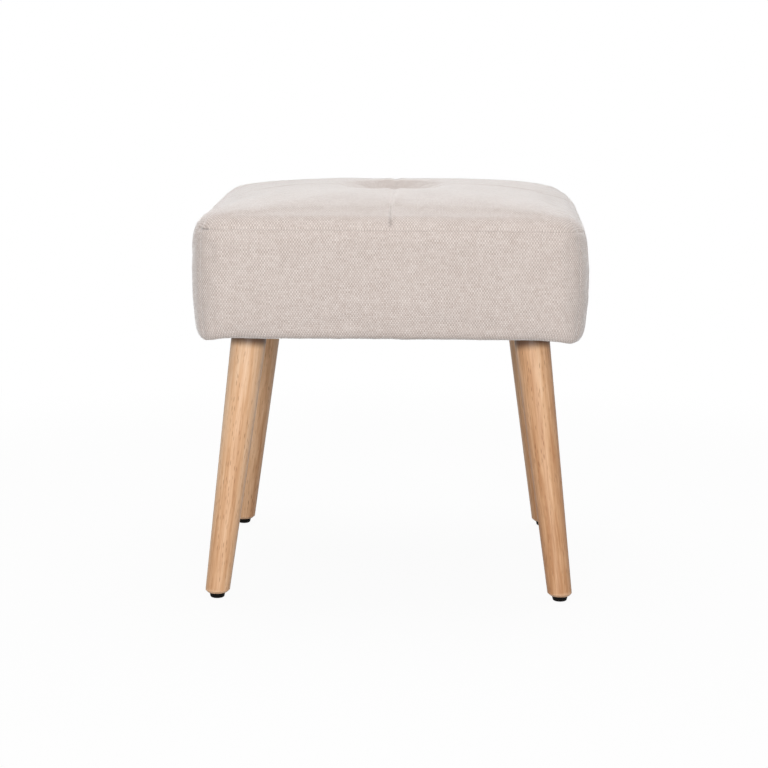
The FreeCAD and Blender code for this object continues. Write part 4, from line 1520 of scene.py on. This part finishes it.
@dataclass(frozen=True)
class Lamp:
    """One square soft lamp that faces a target."""

    name: str
    place: Triple
    target: Triple
    size: float
    power: float

    def hang(self) -> None:
        """Makes the lamp."""
        data = bpy.data.lights.new(self.name, "AREA")
        data.size = self.size
        data.energy = self.power
        lamp = bpy.data.objects.new(self.name, data)
        lamp.location = self.place
        facing = Vector(self.target) - Vector(self.place)
        lamp.rotation_euler = facing.to_track_quat("-Z", "Y").to_euler()
        bpy.context.scene.collection.objects.link(lamp)


@dataclass
class Studio:
    """A white floor and backdrop, soft lamps and the camera."""

    camera_place: Triple = (0.0392, -2.7445, 0.696)
    yaw: float = -0.0180
    pitch: float = 0.1689
    roll: float = -0.0057
    focal_pixels: float = 2190.1
    world_strength: float = 0.38
    # The floor's grey as it lights the object and as it is seen, and its share of plain white
    floor_bounce: float = 0.34
    floor_seen: float = 0.95
    floor_white: float = 0.94
    lamps: tuple[Lamp, ...] = (
        Lamp("top_softbox", (0.0, 0.55, 2.5), (0, 0, 0.4), 1.8, 22.0),
        Lamp("front_softbox", (-0.1, -3.3, 0.85), (0, 0, 0.3), 1.5, 75.0),
    )

    def build(self) -> None:
        """Makes the floor, the lamps, the world and the camera."""
        self._floor()
        self._world()
        for lamp in self.lamps:
            lamp.hang()
        self._camera()
        bpy.context.scene.view_settings.view_transform = "Standard"

    def _floor(self) -> None:
        """A wide floor, white to the eye, with the object's soft shadow."""
        bpy.ops.object.select_all(action="DESELECT")
        bpy.ops.mesh.primitive_plane_add(size=16, location=(0, 0, 0))
        floor = bpy.context.object
        floor.name = "floor"
        s = Shader("white_floor")
        ray = s.node("ShaderNodeLightPath")
        seen = s.out(ray, "Is Camera Ray").math("MAXIMUM", s.out(ray, "Is Glossy Ray"))
        seen = seen.math("MAXIMUM", s.out(ray, "Is Transmission Ray"))
        grey = s.blend(seen, (self.floor_bounce,) * 3, (self.floor_seen,) * 3)
        matt = s.node("ShaderNodeBsdfDiffuse", None, {"Color": grey})
        white = s.node("ShaderNodeEmission", None, {"Color": WHITE, "Strength": 1.0})
        x, y, _ = s.split(s.place())
        away = (x * x + y * y).between(0.5, 2.0)
        share = seen * (self.floor_white + away * (1 - self.floor_white))
        both = s.node("ShaderNodeMixShader", None, {0: share, 1: s.out(matt), 2: s.out(white)})
        s.node("ShaderNodeOutputMaterial", None, {"Surface": s.out(both)})
        floor.data.materials.append(s.material)

    def _world(self) -> None:
        """An even pale light that the eye sees as white."""
        world = bpy.data.worlds.new("studio")
        bpy.context.scene.world = world
        s = Shader("studio", world)
        seen = s.out(s.node("ShaderNodeLightPath"), "Is Camera Ray")
        light, white = [
            s.out(s.node("ShaderNodeBackground", None, {"Color": WHITE, "Strength": strength}))
            for strength in (self.world_strength, 1.0)
        ]
        both = s.node("ShaderNodeMixShader", None, {0: seen, 1: light, 2: white})
        s.node("ShaderNodeOutputWorld", None, {"Surface": s.out(both)})

    def _camera(self) -> None:
        """The camera, at the photograph's place and angle."""
        level = math.cos(self.pitch)
        forward = Vector((math.sin(self.yaw) * level, math.cos(self.yaw) * level,
                          -math.sin(self.pitch)))
        right = Vector((math.cos(self.yaw), -math.sin(self.yaw), 0))
        down = forward.cross(right)
        turned_right = math.cos(self.roll) * right + math.sin(self.roll) * down
        turned_down = -math.sin(self.roll) * right + math.cos(self.roll) * down
        data = bpy.data.cameras.new("camera")
        data.sensor_width = SENSOR_WIDTH
        data.lens = self.focal_pixels / PICTURE_PIXELS * SENSOR_WIDTH
        camera = bpy.data.objects.new("camera", data)
        turn = Matrix((turned_right, -turned_down, -forward)).transposed()
        camera.matrix_world = Matrix.Translation(self.camera_place) @ turn.to_4x4()
        bpy.context.scene.collection.objects.link(camera)
        bpy.context.scene.camera = camera


def main() -> None:
    """Builds the sub-assemblies in order."""
    logging.basicConfig(level=logging.INFO, format="%(name)s: %(message)s")
    Studio().build()
    form = SeatForm()
    cover = SeatCover(form, LinenWeave())
    for piece in cover.build() + Filling(cover).build() + [DustCover().build()]:
        LOG.info("piece %s: %d faces", piece.name, len(piece.data.polygons))
    for name in Legs().dress() + Carcass().dress():
        LOG.info("node %s: dressed", name)


if __name__ == "__main__":
    main()
